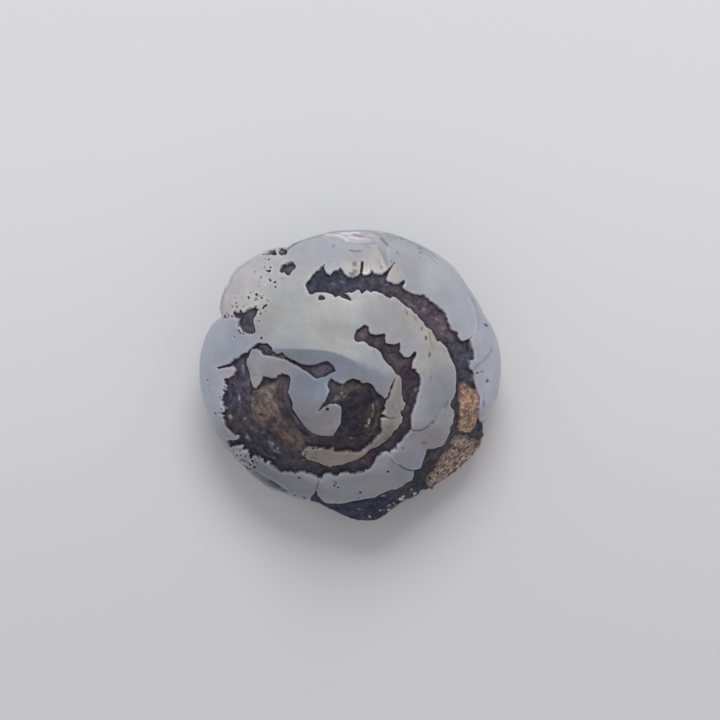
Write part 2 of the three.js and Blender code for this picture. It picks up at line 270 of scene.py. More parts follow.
MIDDLE_BAND = [
    (364.8, 324), (368.4, 327), (369.4, 331.8), (371, 333.9), (375.1, 335.4), (380, 334.6), (382.4, 334.7),
    (384.4, 333.2), (386.2, 335.7), (385.1, 338.7), (386, 342.5), (389.8, 344.1), (393.7, 344.6),
    (397.3, 343.7), (399.8, 341.8), (400.4, 345), (400.5, 348.6), (399.4, 351), (401.6, 354.3),
    (404.6, 357.4), (409, 357.7), (412, 355.7), (414.8, 352), (416.6, 353.2), (415.5, 357), (413.7, 360.4),
    (412.3, 365.7), (412.3, 369.1), (416, 369.3), (417, 373), (419.8, 374.7), (421.2, 379.3),
    (420.9, 385.7), (419.8, 391.4), (417.6, 397), (416.6, 402), (414.4, 408.6), (412.6, 414.3),
    (411.6, 420), (412, 425.7), (411.6, 430.7), (408.7, 433.6), (406, 436.8), (403.7, 438.5), (402, 441.4),
    (400.2, 444), (397.3, 445.4), (396.9, 449.6), (393.7, 451), (391.2, 451.4), (390.2, 455), (388, 453),
    (385.9, 452), (382.3, 453.3), (379.4, 456.1), (376, 458.6), (374.4, 461.8), (373, 465.7), (370, 469.3),
    (365.9, 471.4), (360, 473.9), (355, 474.6), (351, 474.3), (348, 473), (343.7, 473.6), (339.4, 474.7),
    (336.5, 476.6), (332.6, 476.1), (330.6, 473.6), (327.3, 474.3), (323, 475.5), (321.2, 480.3),
    (318, 479.6), (316, 477.1), (311.6, 475.7), (308, 474.7), (304.4, 473.6), (299.4, 472.9),
    (296.6, 473.6), (293, 474.3), (288, 473.2), (283.5, 472.6), (281, 473.5), (277.3, 471.4),
    (273.8, 469.3), (270.1, 465.7), (269.1, 462.1), (264.4, 463), (262.3, 459.3), (258, 457.2), (250, 457),
    (246.3, 452.5), (240.2, 451.3), (242.4, 447.2), (238.6, 445.7), (233, 446.2), (231, 447.2),
    (228, 445.5), (225.5, 443), (224.4, 441), (233.6, 440.9), (238, 439.6), (237.3, 437), (232.4, 434.7),
    (228.7, 432.1), (226.2, 428.6), (224.1, 425), (223.7, 420.8), (221.6, 418.6), (223.4, 415.4),
    (220, 414), (215, 413.8), (220, 412.8), (224.1, 411.8), (225.5, 409.3), (223, 406.4), (221.6, 403.6),
    (220.5, 400.7), (222.3, 397), (224.4, 393), (221.6, 391.4), (219.4, 389.6), (224.6, 390.5),
    (225.1, 387), (224.4, 382), (223.7, 379.7), (227.3, 378.9), (231, 377), (233.7, 373.6), (235.1, 371),
    (234.4, 368), (231.2, 366.4), (223, 368), (218, 369.3), (216.6, 368.2), (221.6, 366.3), (228.7, 363.8),
    (232, 361), (234.4, 358.2), (236.6, 359.3), (239.4, 356.4), (241.6, 354.6), (244.4, 352.9),
    (246.8, 352.6), (248.4, 349.6), (252.3, 347.1), (255.1, 345.4), (257.6, 343.2), (262.3, 343.7),
    (266.9, 342.9), (268.8, 345.7), (271.9, 348.2), (271.6, 351), (274.4, 352.5), (278, 354),
    (281.6, 352.2), (284.1, 355.4), (288.4, 358.6), (291.6, 360), (296, 361.7), (302.3, 364.2),
    (308, 365.4), (314.4, 365), (319.4, 363), (325.5, 361.3), (329.4, 362.1), (332, 365), (334.4, 369.3),
    (336, 371.8), (331.6, 373), (329.4, 374.3), (326, 376.8), (320, 378), (316, 378.9), (312.3, 376.4),
    (308.7, 373.6), (304.1, 370), (300.1, 367.9), (295.1, 365), (290.9, 362.5), (286, 360), (281, 358.5),
    (275, 357.1), (268.8, 356), (263, 355), (260.5, 352.5), (258.7, 350), (255.1, 348.2), (251.6, 349),
    (249.8, 352.5), (248.4, 356.5), (246.2, 359.3), (246.2, 364.3), (247.6, 369.6), (249.1, 376.4),
    (250.5, 381.4), (253, 387), (255.5, 389.2), (259.4, 383.6), (261.2, 379.3), (262.3, 376), (266, 377.4),
    (271, 378.9), (274.8, 378.2), (277.3, 375), (281.2, 373.6), (285.1, 374.3), (288, 375.7),
    (290.1, 378.6), (289.4, 382.1), (288.7, 388.6), (287.6, 393), (289.1, 397), (291.6, 401.4),
    (292.3, 405), (292, 409), (294.4, 412.6), (298, 417.1), (300, 421), (303.4, 425.4), (306.5, 428.5),
    (309.8, 431.4), (312.3, 434), (316.6, 435.4), (322.3, 436.4), (328, 437.1), (333, 436.4), (335.2, 433),
    (338.7, 428), (340.9, 423.6), (341.6, 418), (341.9, 411), (340.9, 407), (338.4, 404.6), (334.4, 403.6),
    (329.4, 404.3), (326, 405.7), (323, 407.5), (320, 410.7), (317.5, 411.8), (319.4, 408), (322, 404.6),
    (324.8, 401.4), (326.6, 396.4), (328.7, 392.5), (330, 390.4), (328.7, 388), (327.2, 384.6),
    (328.7, 381.4), (330.9, 378.2), (333, 379.6), (336, 381.1), (339.4, 383.2), (343, 384.1), (346, 382.1),
    (348.7, 380), (352.6, 379), (356.6, 380.1), (360, 381), (362.3, 383), (368, 382.9), (371.6, 384.6),
    (374.4, 388), (376.2, 391.5), (380, 395), (384.8, 399.3), (388, 396.4), (389.4, 392), (391.4, 387),
    (393.5, 382), (395.8, 377.8), (394.6, 383), (392.3, 389), (390.3, 394.5), (389, 398), (386, 401.8),
    (384.8, 405.7), (385.5, 409.3), (383.7, 412.5), (382, 414.4), (386, 416.3), (390, 418.6), (385, 418),
    (382.2, 419.3), (381.9, 424.3), (382.3, 428), (381.6, 434.3), (377.5, 438), (374.4, 441),
    (371.6, 444.6), (369.4, 446.4), (365.9, 449.8), (361.6, 452.3), (357.3, 454.6), (354.4, 453.6),
    (348, 453.2), (341, 453), (336, 453.7), (333, 451.4), (328.7, 450.6), (322.3, 449.6), (316, 448.7),
    (311, 447.5), (307, 449), (304, 451.5), (301.5, 454.3), (304.4, 456.8), (308.7, 460), (313.7, 461.9),
    (318.7, 463.6), (323, 465.7), (330, 466.7), (338, 465.8), (344.4, 464.4), (351.6, 462.2),
    (357.3, 460.4), (361.6, 457.6), (366.6, 453.7), (370.2, 449.8), (374.6, 448.2), (379.5, 446.3),
    (383.3, 443.4), (387.7, 440.4), (390.5, 437), (394.6, 432.7), (399, 428), (401.7, 423.5), (403.3, 418),
    (401, 412.5), (404.4, 409), (406.3, 404.3), (403.4, 401.3), (402.5, 396.4), (402.2, 389.5),
    (402.3, 379.3), (400.5, 376), (396.9, 374.6), (394.5, 370.7), (391.7, 367.1), (388, 363.8),
    (383.7, 358.9), (383, 355.6), (381, 352.3), (378, 349.2), (373.2, 347.2), (369.3, 345.6),
    (366.5, 342.8), (363.5, 341.2), (359.3, 341.9), (355.1, 341), (353.7, 338), (354.8, 334.2),
    (356.8, 330.3), (361.2, 327.2),
]
TOP_PATCH = [
    (278.8, 270), (280.5, 267), (281, 264.3), (283, 264.2), (286, 262.2), (289.8, 261), (293, 261.8),
    (295.3, 265), (294.4, 268.2), (292, 269.7), (290.6, 272.5), (289.2, 275.2), (286.2, 274.3),
    (284.4, 271.8), (281.6, 272.5),
]
NOTCH_WINDOW = [
    (233, 315.7), (233.4, 312.5), (235.1, 311.7), (238.7, 313.6), (243, 313.6), (245, 310), (248, 307.9),
    (252, 308.2), (256.3, 307.4), (258.4, 310), (256.2, 314), (253.4, 318), (253.4, 323.6), (254.9, 330),
    (254.4, 332.5), (251.7, 334), (245, 333.4), (242.3, 331), (240, 328), (236.7, 324.3), (238, 321.4),
    (238.7, 318.6), (236, 318.2), (233.3, 317.5),
]
EDGE_SLIVER = [
    (261.5, 254.2), (265, 252.6), (269, 250.9), (274.5, 249.4), (276.8, 253.2), (277, 254.6), (272, 254.3),
    (266, 254.6),
]
EDGE_SPOT = [
    (277.8, 250.8), (279.5, 248.6), (283, 247.6), (286.2, 249), (287.2, 252), (285.5, 254.4), (281.5, 255.1),
    (278.8, 253.6),
]
ORANGE_SAND = [
    (460, 384.3), (465, 383.6), (468.4, 387), (471.6, 389.3), (475.2, 390), (478, 395), (478.4, 402),
    (478.2, 409), (476.6, 415), (474.9, 421.5), (473.5, 426.5), (469.4, 431.4), (463, 432), (458.7, 430),
    (459.4, 425), (460.2, 416), (460.3, 405), (460.2, 393),
]
GREY_SAND = [
    (455.5, 438.5), (460, 438), (466.6, 437), (471.6, 440), (477, 441.5), (486, 441), (488, 450),
    (470, 468), (450, 482), (434, 494), (427.6, 483.6), (429.4, 478.6), (431.6, 473.6), (436.6, 470.7),
    (438.7, 465.7), (442, 460.7), (445, 456.4), (450, 453), (453, 448), (453.7, 443),
]
BROWN_PATCH = [
    (253, 389), (262, 386.5), (270, 384), (277, 379), (281, 380), (281, 392), (282, 400), (286, 410),
    (291, 420), (298, 430), (303, 440), (307, 448), (303, 452), (295, 450), (286, 445.5), (277, 440),
    (271, 434), (265, 427), (259, 424.5), (255, 421.5), (252, 415), (250, 407), (250, 400), (251, 394),
]

# Specks of matrix: picture x, y and radius in pixels
SPECKS = [
    (270.4, 267, 1.3), (269, 271, 1.0), (268.2, 259.5, 0.9), (270.4, 280.3, 1.5), (274.6, 282.4, 1.1),
    (278, 284, 0.7), (275.7, 286.5, 1.1), (262.8, 279, 0.8), (263.6, 283.6, 0.6), (256.6, 294.4, 1.3),
    (255.8, 299, 1.2), (256.3, 296.6, 0.7), (261.6, 297.2, 1.1), (262.6, 298.4, 0.7), (248.6, 297.2, 0.9),
    (234.7, 298, 0.9), (257, 303, 1.0), (264.2, 306.4, 1.1), (266.2, 304.6, 0.9), (263, 307.6, 0.8),
    (268.6, 300.2, 0.7), (260.4, 313.8, 0.8), (259.6, 320.2, 0.9), (259, 309.6, 0.8), (224.6, 316.4, 1.5),
    (228.9, 315.2, 1.3), (231.6, 316.8, 1.0), (225.2, 289.6, 1.2), (225, 292.2, 1.0), (234, 274, 0.7),
    (207.5, 380, 1.0), (209, 390.5, 1.1), (215.1, 413.6, 1.3), (234.5, 336.5, 0.9), (261.4, 337.5, 1.4),
    (477.4, 372.8, 1.0), (486, 325, 1.0), (426, 338, 0.8), (328, 409, 1.8), (388.6, 471.7, 1.5),
    (360.4, 492, 1.3), (360.2, 493.6, 0.8), (358, 498, 1.2), (329.4, 486.8, 1.4), (335.4, 482.6, 1.2),
    (334.2, 485.4, 1.1), (333.4, 487, 0.7), (338.2, 487.1, 0.9), (299.4, 478, 1.9), (295.1, 495.4, 1.3),
    (294, 495.2, 0.9), (246.4, 467.2, 1.1), (248.4, 468.8, 1.1), (242, 460, 1.3), (239.8, 460, 0.8),
    (244.6, 461.4, 0.9), (249.5, 457, 1.4), (252.8, 461.8, 1.4), (256.4, 458.4, 0.8), (233.4, 451.8, 1.2),
    (236, 451.6, 0.8), (239.4, 451.6, 0.8), (244.2, 455.2, 0.7), (238.6, 455.6, 0.7), (259.6, 460.4, 0.8),
    (264.6, 468, 0.7), (254.4, 466.6, 0.6), (321.3, 297.6, 2.4), (323.4, 298.2, 1.8), (319.4, 298.8, 1.2),
    (233.5, 313.6, 1.2), (234.8, 311.4, 1.2), (236.4, 315, 1.3), (239, 314.8, 1.5), (240.8, 311.4, 0.9),
    (226.8, 317.4, 0.8), (229.4, 318.4, 0.7), (237.2, 318.6, 0.9), (226.8, 313.4, 0.7), (222.6, 313, 0.7),
    (238.4, 323.6, 1.0), (237.4, 326, 0.8), (238.8, 330.4, 0.8), (240.4, 332.8, 0.8), (243.4, 334, 0.7),
    (264.4, 462, 1.6), (257.6, 457.2, 1.4), (246, 451.4, 1.4), (240.4, 450.6, 1.2), (304.6, 497.8, 1.0),
    (232.2, 451.6, 0.9), (230.4, 451.4, 0.7), (247.6, 463, 0.6), (250.4, 464.8, 0.6), (257, 463.4, 0.7),
    (255.4, 460.6, 0.6), (245.6, 457.4, 0.7), (247, 454.6, 0.8), (251.6, 455.4, 0.8), (242.6, 454.2, 0.7),
]

# Light and tan specks in the matrix: picture x, y, half width and half height in pixels, and colour
SPARKS = [
    (263, 346.4, 4.6, 1.2, (98, 100, 106)), (268.4, 350, 2.8, 1.4, (96, 98, 104)),
    (274.4, 354.6, 3.2, 0.9, (108, 106, 112)), (283.4, 357, 3.0, 0.9, (104, 102, 110)),
    (470.4, 347, 1.8, 6.0, (96, 90, 92)), (471.4, 353, 1.6, 3.2, (84, 79, 84)),
    (466.6, 362, 3.0, 4.0, (92, 92, 104)), (471.6, 377, 2.0, 4.6, (94, 93, 101)),
    (423.5, 309, 2.4, 2.2, (120, 112, 122)), (436, 318.5, 2.0, 2.0, (122, 96, 114)),
    (444, 327.5, 3.0, 1.8, (116, 100, 104)), (442, 333, 1.8, 1.2, (112, 102, 110)),
    (434, 325, 3.4, 2.4, (92, 72, 82)), (430, 315, 3.0, 2.2, (92, 80, 90)),
    (410.4, 301.6, 3.4, 1.6, (84, 76, 74)), (416, 389, 2.0, 2.0, (134, 122, 130)),
    (408, 386, 2.4, 3.0, (84, 76, 82)), (404.6, 362, 3.0, 1.4, (92, 82, 88)),
    (373, 413, 1.4, 3.8, (140, 130, 126)), (378, 414, 1.2, 2.6, (82, 76, 74)),
    (376, 424, 1.3, 3.0, (76, 70, 68)), (377.4, 405, 1.1, 3.4, (86, 78, 76)),
    (371, 434, 2.0, 1.6, (90, 82, 80)), (362, 436, 3.0, 1.2, (88, 78, 82)),
    (352, 383, 2.2, 1.3, (80, 74, 72)), (343, 388, 2.0, 1.8, (82, 74, 72)),
    (378, 443, 2.4, 2.2, (140, 134, 140)), (373.6, 447, 2.2, 1.2, (124, 118, 124)),
    (434.2, 465, 1.4, 1.3, (122, 122, 126)), (436.4, 457, 2.4, 3.0, (74, 78, 80)),
    (433, 453, 1.6, 2.0, (82, 62, 74)), (429, 484, 1.9, 1.8, (206, 192, 196)),
    (434, 479.6, 1.8, 1.4, (178, 160, 152)), (438.4, 476, 2.0, 1.4, (186, 168, 160)),
    (431.6, 486.4, 1.6, 1.0, (150, 126, 116)), (441, 473.4, 1.8, 1.3, (160, 142, 130)),
    (411, 489.6, 1.1, 2.0, (128, 128, 140)), (403.2, 496.4, 1.5, 2.2, (196, 190, 190)),
    (399.4, 498.8, 1.6, 1.8, (196, 190, 188)), (383.6, 496.2, 3.2, 1.6, (112, 112, 108)),
    (380, 501, 1.3, 1.2, (104, 104, 112)), (415.6, 493.6, 3.4, 1.0, (188, 178, 170)),
    (396, 507.4, 2.2, 0.9, (158, 142, 132)), (389.4, 505, 2.0, 1.4, (160, 154, 158)),
    (383, 509.6, 2.0, 0.9, (128, 140, 152)), (413, 498.6, 2.4, 1.2, (132, 108, 120)),
    (393, 507.6, 2.4, 0.9, (118, 100, 90)), (376, 505, 1.4, 0.9, (84, 90, 96)),
    (363, 512.6, 1.2, 0.9, (104, 110, 118)), (352, 511, 1.8, 0.9, (84, 90, 98)),
    (274, 457.6, 3.2, 1.4, (104, 96, 96)), (274.6, 467, 2.2, 1.5, (84, 82, 92)),
    (263, 442, 4.4, 3.0, (72, 72, 90)), (254, 438, 3.0, 2.0, (64, 62, 74)),
    (252, 428, 2.6, 1.8, (96, 92, 96)), (236, 424, 2.4, 1.8, (92, 82, 82)),
    (262, 432, 1.8, 1.4, (112, 106, 108)), (248, 381, 1.0, 2.6, (112, 108, 116)),
    (231, 393, 1.4, 2.0, (98, 94, 104)), (243, 404, 1.8, 1.4, (70, 64, 76)),
    (288, 446, 2.4, 1.6, (96, 78, 82)), (297, 457, 2.4, 1.0, (118, 100, 90)),
    (369.3, 516, 1.6, 1.4, (168, 166, 170)), (401.6, 500, 2.0, 1.3, (200, 188, 184)),
    (359, 509.5, 2.4, 1.4, (120, 124, 130)), (414, 497.4, 2.6, 1.0, (158, 142, 144)),
    (380.4, 511, 1.8, 1.5, (140, 146, 158)), (393.6, 503.6, 1.3, 1.3, (190, 182, 184)),
    (389.4, 509.8, 1.3, 1.7, (176, 168, 162)), (433.6, 478, 2.0, 1.6, (158, 146, 142)),
    (407.8, 500, 1.8, 0.9, (166, 152, 152)), (446, 471.5, 1.8, 1.7, (188, 180, 174)),
    (397, 508, 3.4, 1.2, (150, 134, 122)), (407, 501, 2.6, 1.2, (136, 120, 110)),
    (243, 370, 1.4, 5.0, (134, 130, 142)), (238.8, 397, 1.3, 3.2, (154, 152, 160)),
    (230.3, 416.5, 2.2, 3.2, (182, 176, 172)), (245, 418, 2.0, 1.4, (146, 140, 154)),
    (247, 437, 1.6, 2.4, (134, 132, 138)), (273, 444.5, 1.8, 3.4, (118, 116, 120)),
    (277.6, 448.6, 2.4, 1.6, (116, 114, 116)), (282, 251.6, 2.4, 1.7, (124, 124, 128)),
    (269.5, 252.6, 3.4, 1.0, (98, 98, 102)), (275.6, 406, 1.9, 1.8, (126, 112, 120)),
    (275, 411.6, 1.6, 1.3, (96, 80, 86)), (258, 409.4, 1.6, 1.6, (140, 128, 120)),
    (258, 401.6, 1.8, 1.8, (70, 60, 60)), (262, 414.6, 3.2, 1.4, (66, 54, 56)),
    (273.6, 417.4, 1.8, 1.4, (72, 58, 60)), (266, 395, 2.0, 1.6, (84, 70, 70)),
    (256.4, 393.2, 3.0, 1.0, (70, 62, 58)), (294, 440, 2.6, 1.4, (124, 98, 106)),
    (292, 430.6, 2.0, 1.4, (104, 80, 96)), (304, 460, 3.6, 1.2, (104, 90, 86)),
    (263, 391, 4.0, 1.2, (124, 106, 104)), (244, 456, 2.4, 1.0, (168, 162, 160)),
    (267.6, 461.4, 1.2, 1.0, (110, 107, 115)), (236, 437, 3.0, 1.0, (112, 107, 116)),
    (248.5, 384, 1.4, 2.6, (126, 120, 132)), (341.5, 393, 2.0, 2.2, (142, 134, 120)),
    (336, 397.5, 3.2, 3.6, (112, 100, 100)), (347, 391.5, 2.8, 2.4, (92, 86, 78)),
    (344.5, 396, 2.4, 2.0, (98, 90, 82)), (369.2, 421.2, 1.7, 3.4, (166, 158, 150)),
    (366.3, 425.6, 2.3, 1.6, (150, 142, 142)), (373.2, 410, 1.4, 7.0, (112, 105, 102)),
    (379, 442, 2.6, 2.0, (116, 106, 112)), (362.5, 460.5, 1.5, 1.5, (112, 106, 102)),
    (369, 465, 0.9, 3.0, (96, 74, 90)), (310, 437, 5.0, 1.6, (92, 84, 96)),
    (331.5, 449.6, 2.2, 1.0, (112, 102, 104)), (352, 438, 3.0, 1.3, (110, 105, 108)),
    (344, 287, 2.6, 1.2, (66, 66, 78)), (342, 282, 2.6, 1.4, (94, 90, 104)),
    (388, 284.5, 2.9, 1.7, (120, 108, 124)), (334, 284, 3.4, 1.5, (78, 86, 98)),
    (361, 334.5, 2.4, 2.4, (92, 86, 90)), (402, 364.5, 2.0, 1.2, (96, 90, 88)),
    (407, 410, 1.6, 3.4, (84, 76, 86)), (416.5, 297, 2.6, 1.2, (116, 100, 96)),
    (432, 316, 1.4, 1.8, (110, 94, 96)), (449, 345, 1.6, 1.2, (104, 96, 96)),
    (424, 301, 3.0, 2.0, (88, 80, 88)), (418, 388, 1.6, 1.6, (104, 92, 96)),
    (268.5, 437, 1.6, 2.2, (96, 94, 98)), (305, 447, 2.0, 2.4, (98, 92, 88)),
]

# Cracks and thin dark lines: half width in pixels, then the points
CRACKS = [
    (0.6, [(411.5, 430.5), (415, 431.1), (420, 430.8), (424, 429.5), (427.5, 427)]),
    (0.8, [(399.5, 465.2), (403, 468), (408, 470.2), (414, 471)]),
    (0.5, [(316.5, 490), (317.5, 485), (318.5, 481)]),
    (1.1, [(270, 481), (275, 484), (280, 487.4)]),
    (0.8, [(283, 489.6), (287, 492)]),
    (0.6, [(286.5, 250.5), (289.5, 247), (293, 244.4), (299, 241.4)]),
]

# Faint lines on the stone and painted highlights: half width in pixels, how much lighter or darker, then the
# points
STONE_STREAKS_AND_HIGHLIGHTS = [
    # The first six lines, lighter ones along the top edge, are painted highlights
    (1.0, 0.55, [(326, 234.6), (338, 235), (343, 237), (347.4, 240)]),
    (0.9, 0.60, [(341, 233), (350, 233.2)]),
    (0.9, 0.45, [(351.5, 232.6), (359.5, 232.8)]),
    (1.0, 0.45, [(349, 236.8), (358, 238.2), (367, 239)]),
    (0.9, 0.30, [(367.5, 235), (374, 236)]),
    (0.9, 0.18, [(345, 241), (356, 241.5), (370, 241)]),
    (0.8, -0.30, [(326, 232.8), (340, 231.4), (355, 230.8), (370, 231.4), (378, 234.6)]),
    (0.8, -0.28, [(378, 234.6), (385, 240), (388, 244)]),
    (0.8, -0.30, [(384, 233.6), (390, 236.6), (396, 239)]),
    (0.8, -0.34, [(388, 233), (403, 239), (412, 242.6), (421, 246.6), (431, 252.6), (438, 259)]),
    (0.7, -0.24, [(417, 247.4), (428, 254), (436.6, 263.6)]),
    (1.0, -0.55, [(353.4, 234.2), (357, 235.4), (361, 236.6)]),
    (1.1, -0.60, [(381, 238.6), (384, 242), (387.4, 245.8)]),
    (0.9, -0.62, [(350, 250.4), (355, 251.2), (360.6, 251)]),
    (0.6, -0.22, [(360, 233), (364, 237), (366.5, 241)]),
    (0.6, -0.20, [(366, 232.5), (371.5, 237.5), (376, 241.5)]),
    (0.8, -0.30, [(366, 244), (371, 243.4), (377.4, 243.6)]),
    (0.7, -0.30, [(362, 243.8), (366, 245.4), (369.4, 248)]),
    (0.6, -0.14, [(349, 243), (356, 243.6), (363, 243)]),
    (0.6, -0.14, [(352, 254), (358, 254.6)]),
    (1.3, -0.26, [(378.6, 247), (381.6, 252), (384.4, 258), (387, 265)]),
    (0.8, -0.22, [(380, 245), (384.5, 249.4), (385.6, 255)]),
    (1.1, 0.20, [(387.6, 247), (388.6, 254), (390.2, 260)]),
    (0.9, -0.40, [(390.8, 260), (391.4, 262.6)]),
    (0.9, -0.30, [(395.4, 262), (392, 265.6), (389, 269.6)]),
    (1.0, -0.34, [(300, 241.5), (310, 238.4), (322, 235.6)]),
    (0.8, -0.30, [(286, 249), (292, 246.6), (300, 242)]),
    (0.7, -0.22, [
        (222, 312), (221.6, 303), (224.6, 293), (229, 286), (231.4, 279), (238, 269), (250, 261.4),
    ]),
    (1.2, -0.20, [(221.6, 303), (223.4, 296)]),
    (0.8, -0.28, [(222.6, 318.6), (230, 316.4), (238, 312.4)]),
    (0.6, -0.14, [(330, 238.4), (340, 240), (348, 244)]),
    (0.8, -0.22, [(470, 296), (474.4, 304), (477.4, 312), (479, 321), (478.6, 330)]),
    (0.9, 0.14, [(468, 297), (472.4, 305), (475.4, 314), (476.6, 324), (475, 332)]),
    (0.7, -0.20, [(387, 236), (391, 241)]),
    (0.6, -0.26, [(352.4, 267), (352.8, 273)]),
    (0.6, 0.18, [(350.4, 266), (350.8, 273)]),
    (0.6, -0.22, [(358, 267), (358.2, 272)]),
    (0.6, -0.26, [(366.4, 262), (366.8, 272)]),
    (0.6, 0.20, [(368.2, 264), (368.6, 272)]),
    (0.7, -0.30, [(370.2, 264), (370.6, 271)]),
    (0.7, -0.18, [(376, 262), (377, 272)]),
    (0.7, 0.20, [(380.6, 258), (382.4, 265), (384.6, 270)]),
    (0.6, -0.20, [(378.8, 260), (380.4, 268)]),
    (0.9, -0.26, [(349, 273), (353, 275), (357, 273.6)]),
    (0.9, -0.24, [(280.5, 278.4), (284.5, 278)]),
    (1.6, -0.20, [(231.6, 305.8), (232.6, 306.2)]),
    (1.2, -0.26, [(227.4, 311.8), (228, 312.4)]),
    (1.0, -0.22, [(240.5, 297.2), (242.5, 297.4)]),
    (0.6, -0.10, [(212, 362), (222, 359), (232, 353)]),
    (0.9, -0.24, [(424, 372), (424, 376)]),
    (0.8, -0.20, [(431, 377), (431, 379.6)]),
    (1.6, -0.22, [(301.8, 418), (306, 418.4)]),
    (1.5, -0.14, [(303, 406), (305.5, 406.4)]),
    (0.8, -0.16, [(376.5, 370.5), (378, 374)]),
    (1.0, -0.24, [(381.8, 367.6), (382, 368.6)]),
    (0.9, -0.26, [(373.8, 350), (374.5, 354.5)]),
    (0.9, -0.34, [(252.8, 374.4), (257, 374.7)]),
    (2.0, -0.50, [(255, 472.6), (261, 477), (268, 481.4), (276, 486.6), (283, 490.4)]),
    (1.3, 0.34, [(255, 470), (265, 475.2), (275, 480.4), (287, 488.4)]),
    (1.0, -0.34, [(252, 474.4), (257, 478), (262, 481), (268, 484.6), (276, 488)]),
    (0.9, 0.26, [(252, 476.6), (258, 480.2), (266, 485.6), (276, 490)]),
    (0.8, -0.40, [(492.3, 348.6), (489, 354), (484, 360), (478, 365), (475, 367.6)]),
    (0.9, -0.34, [(427.5, 427), (430.5, 423.5), (432.6, 421.4)]),
    (1.3, 0.12, [(431, 429), (436, 424), (441, 414), (446, 401)]),
    (1.0, -0.14, [(434, 421), (439, 412), (443, 403)]),
    (1.1, 0.26, [(391.4, 456.5), (395.5, 461.6), (401, 465.4), (408, 468.4), (421, 469.2)]),
    (0.8, -0.34, [(390.3, 457.5), (393, 461.6), (399.5, 466)]),
    (1.0, -0.50, [(333.4, 481.4), (336.4, 483), (334.6, 486)]),
    (0.7, -0.55, [(381.5, 415), (386, 417.8), (391, 418.6), (395, 417.4)]),
    (0.8, 0.20, [(384, 412.4), (388.6, 415.6), (394, 415.4)]),
    (0.7, -0.26, [(392, 402), (393.4, 408), (396, 412)]),
    (0.8, -0.24, [(399.6, 408), (401.6, 411.6)]),
    (0.8, -0.30, [(385, 433), (389, 436), (391, 440)]),
    (0.7, 0.24, [(387.6, 421), (386, 428), (387, 433)]),
    (1.0, -0.16, [(484, 393), (484.5, 404)]),
    (1.4, -0.16, [(356.6, 484.8), (357.4, 485.2)]),
    (1.4, -0.14, [(351, 488.5), (352.6, 488.7)]),
    (1.3, -0.14, [(397.6, 492), (398.2, 486.4)]),
]
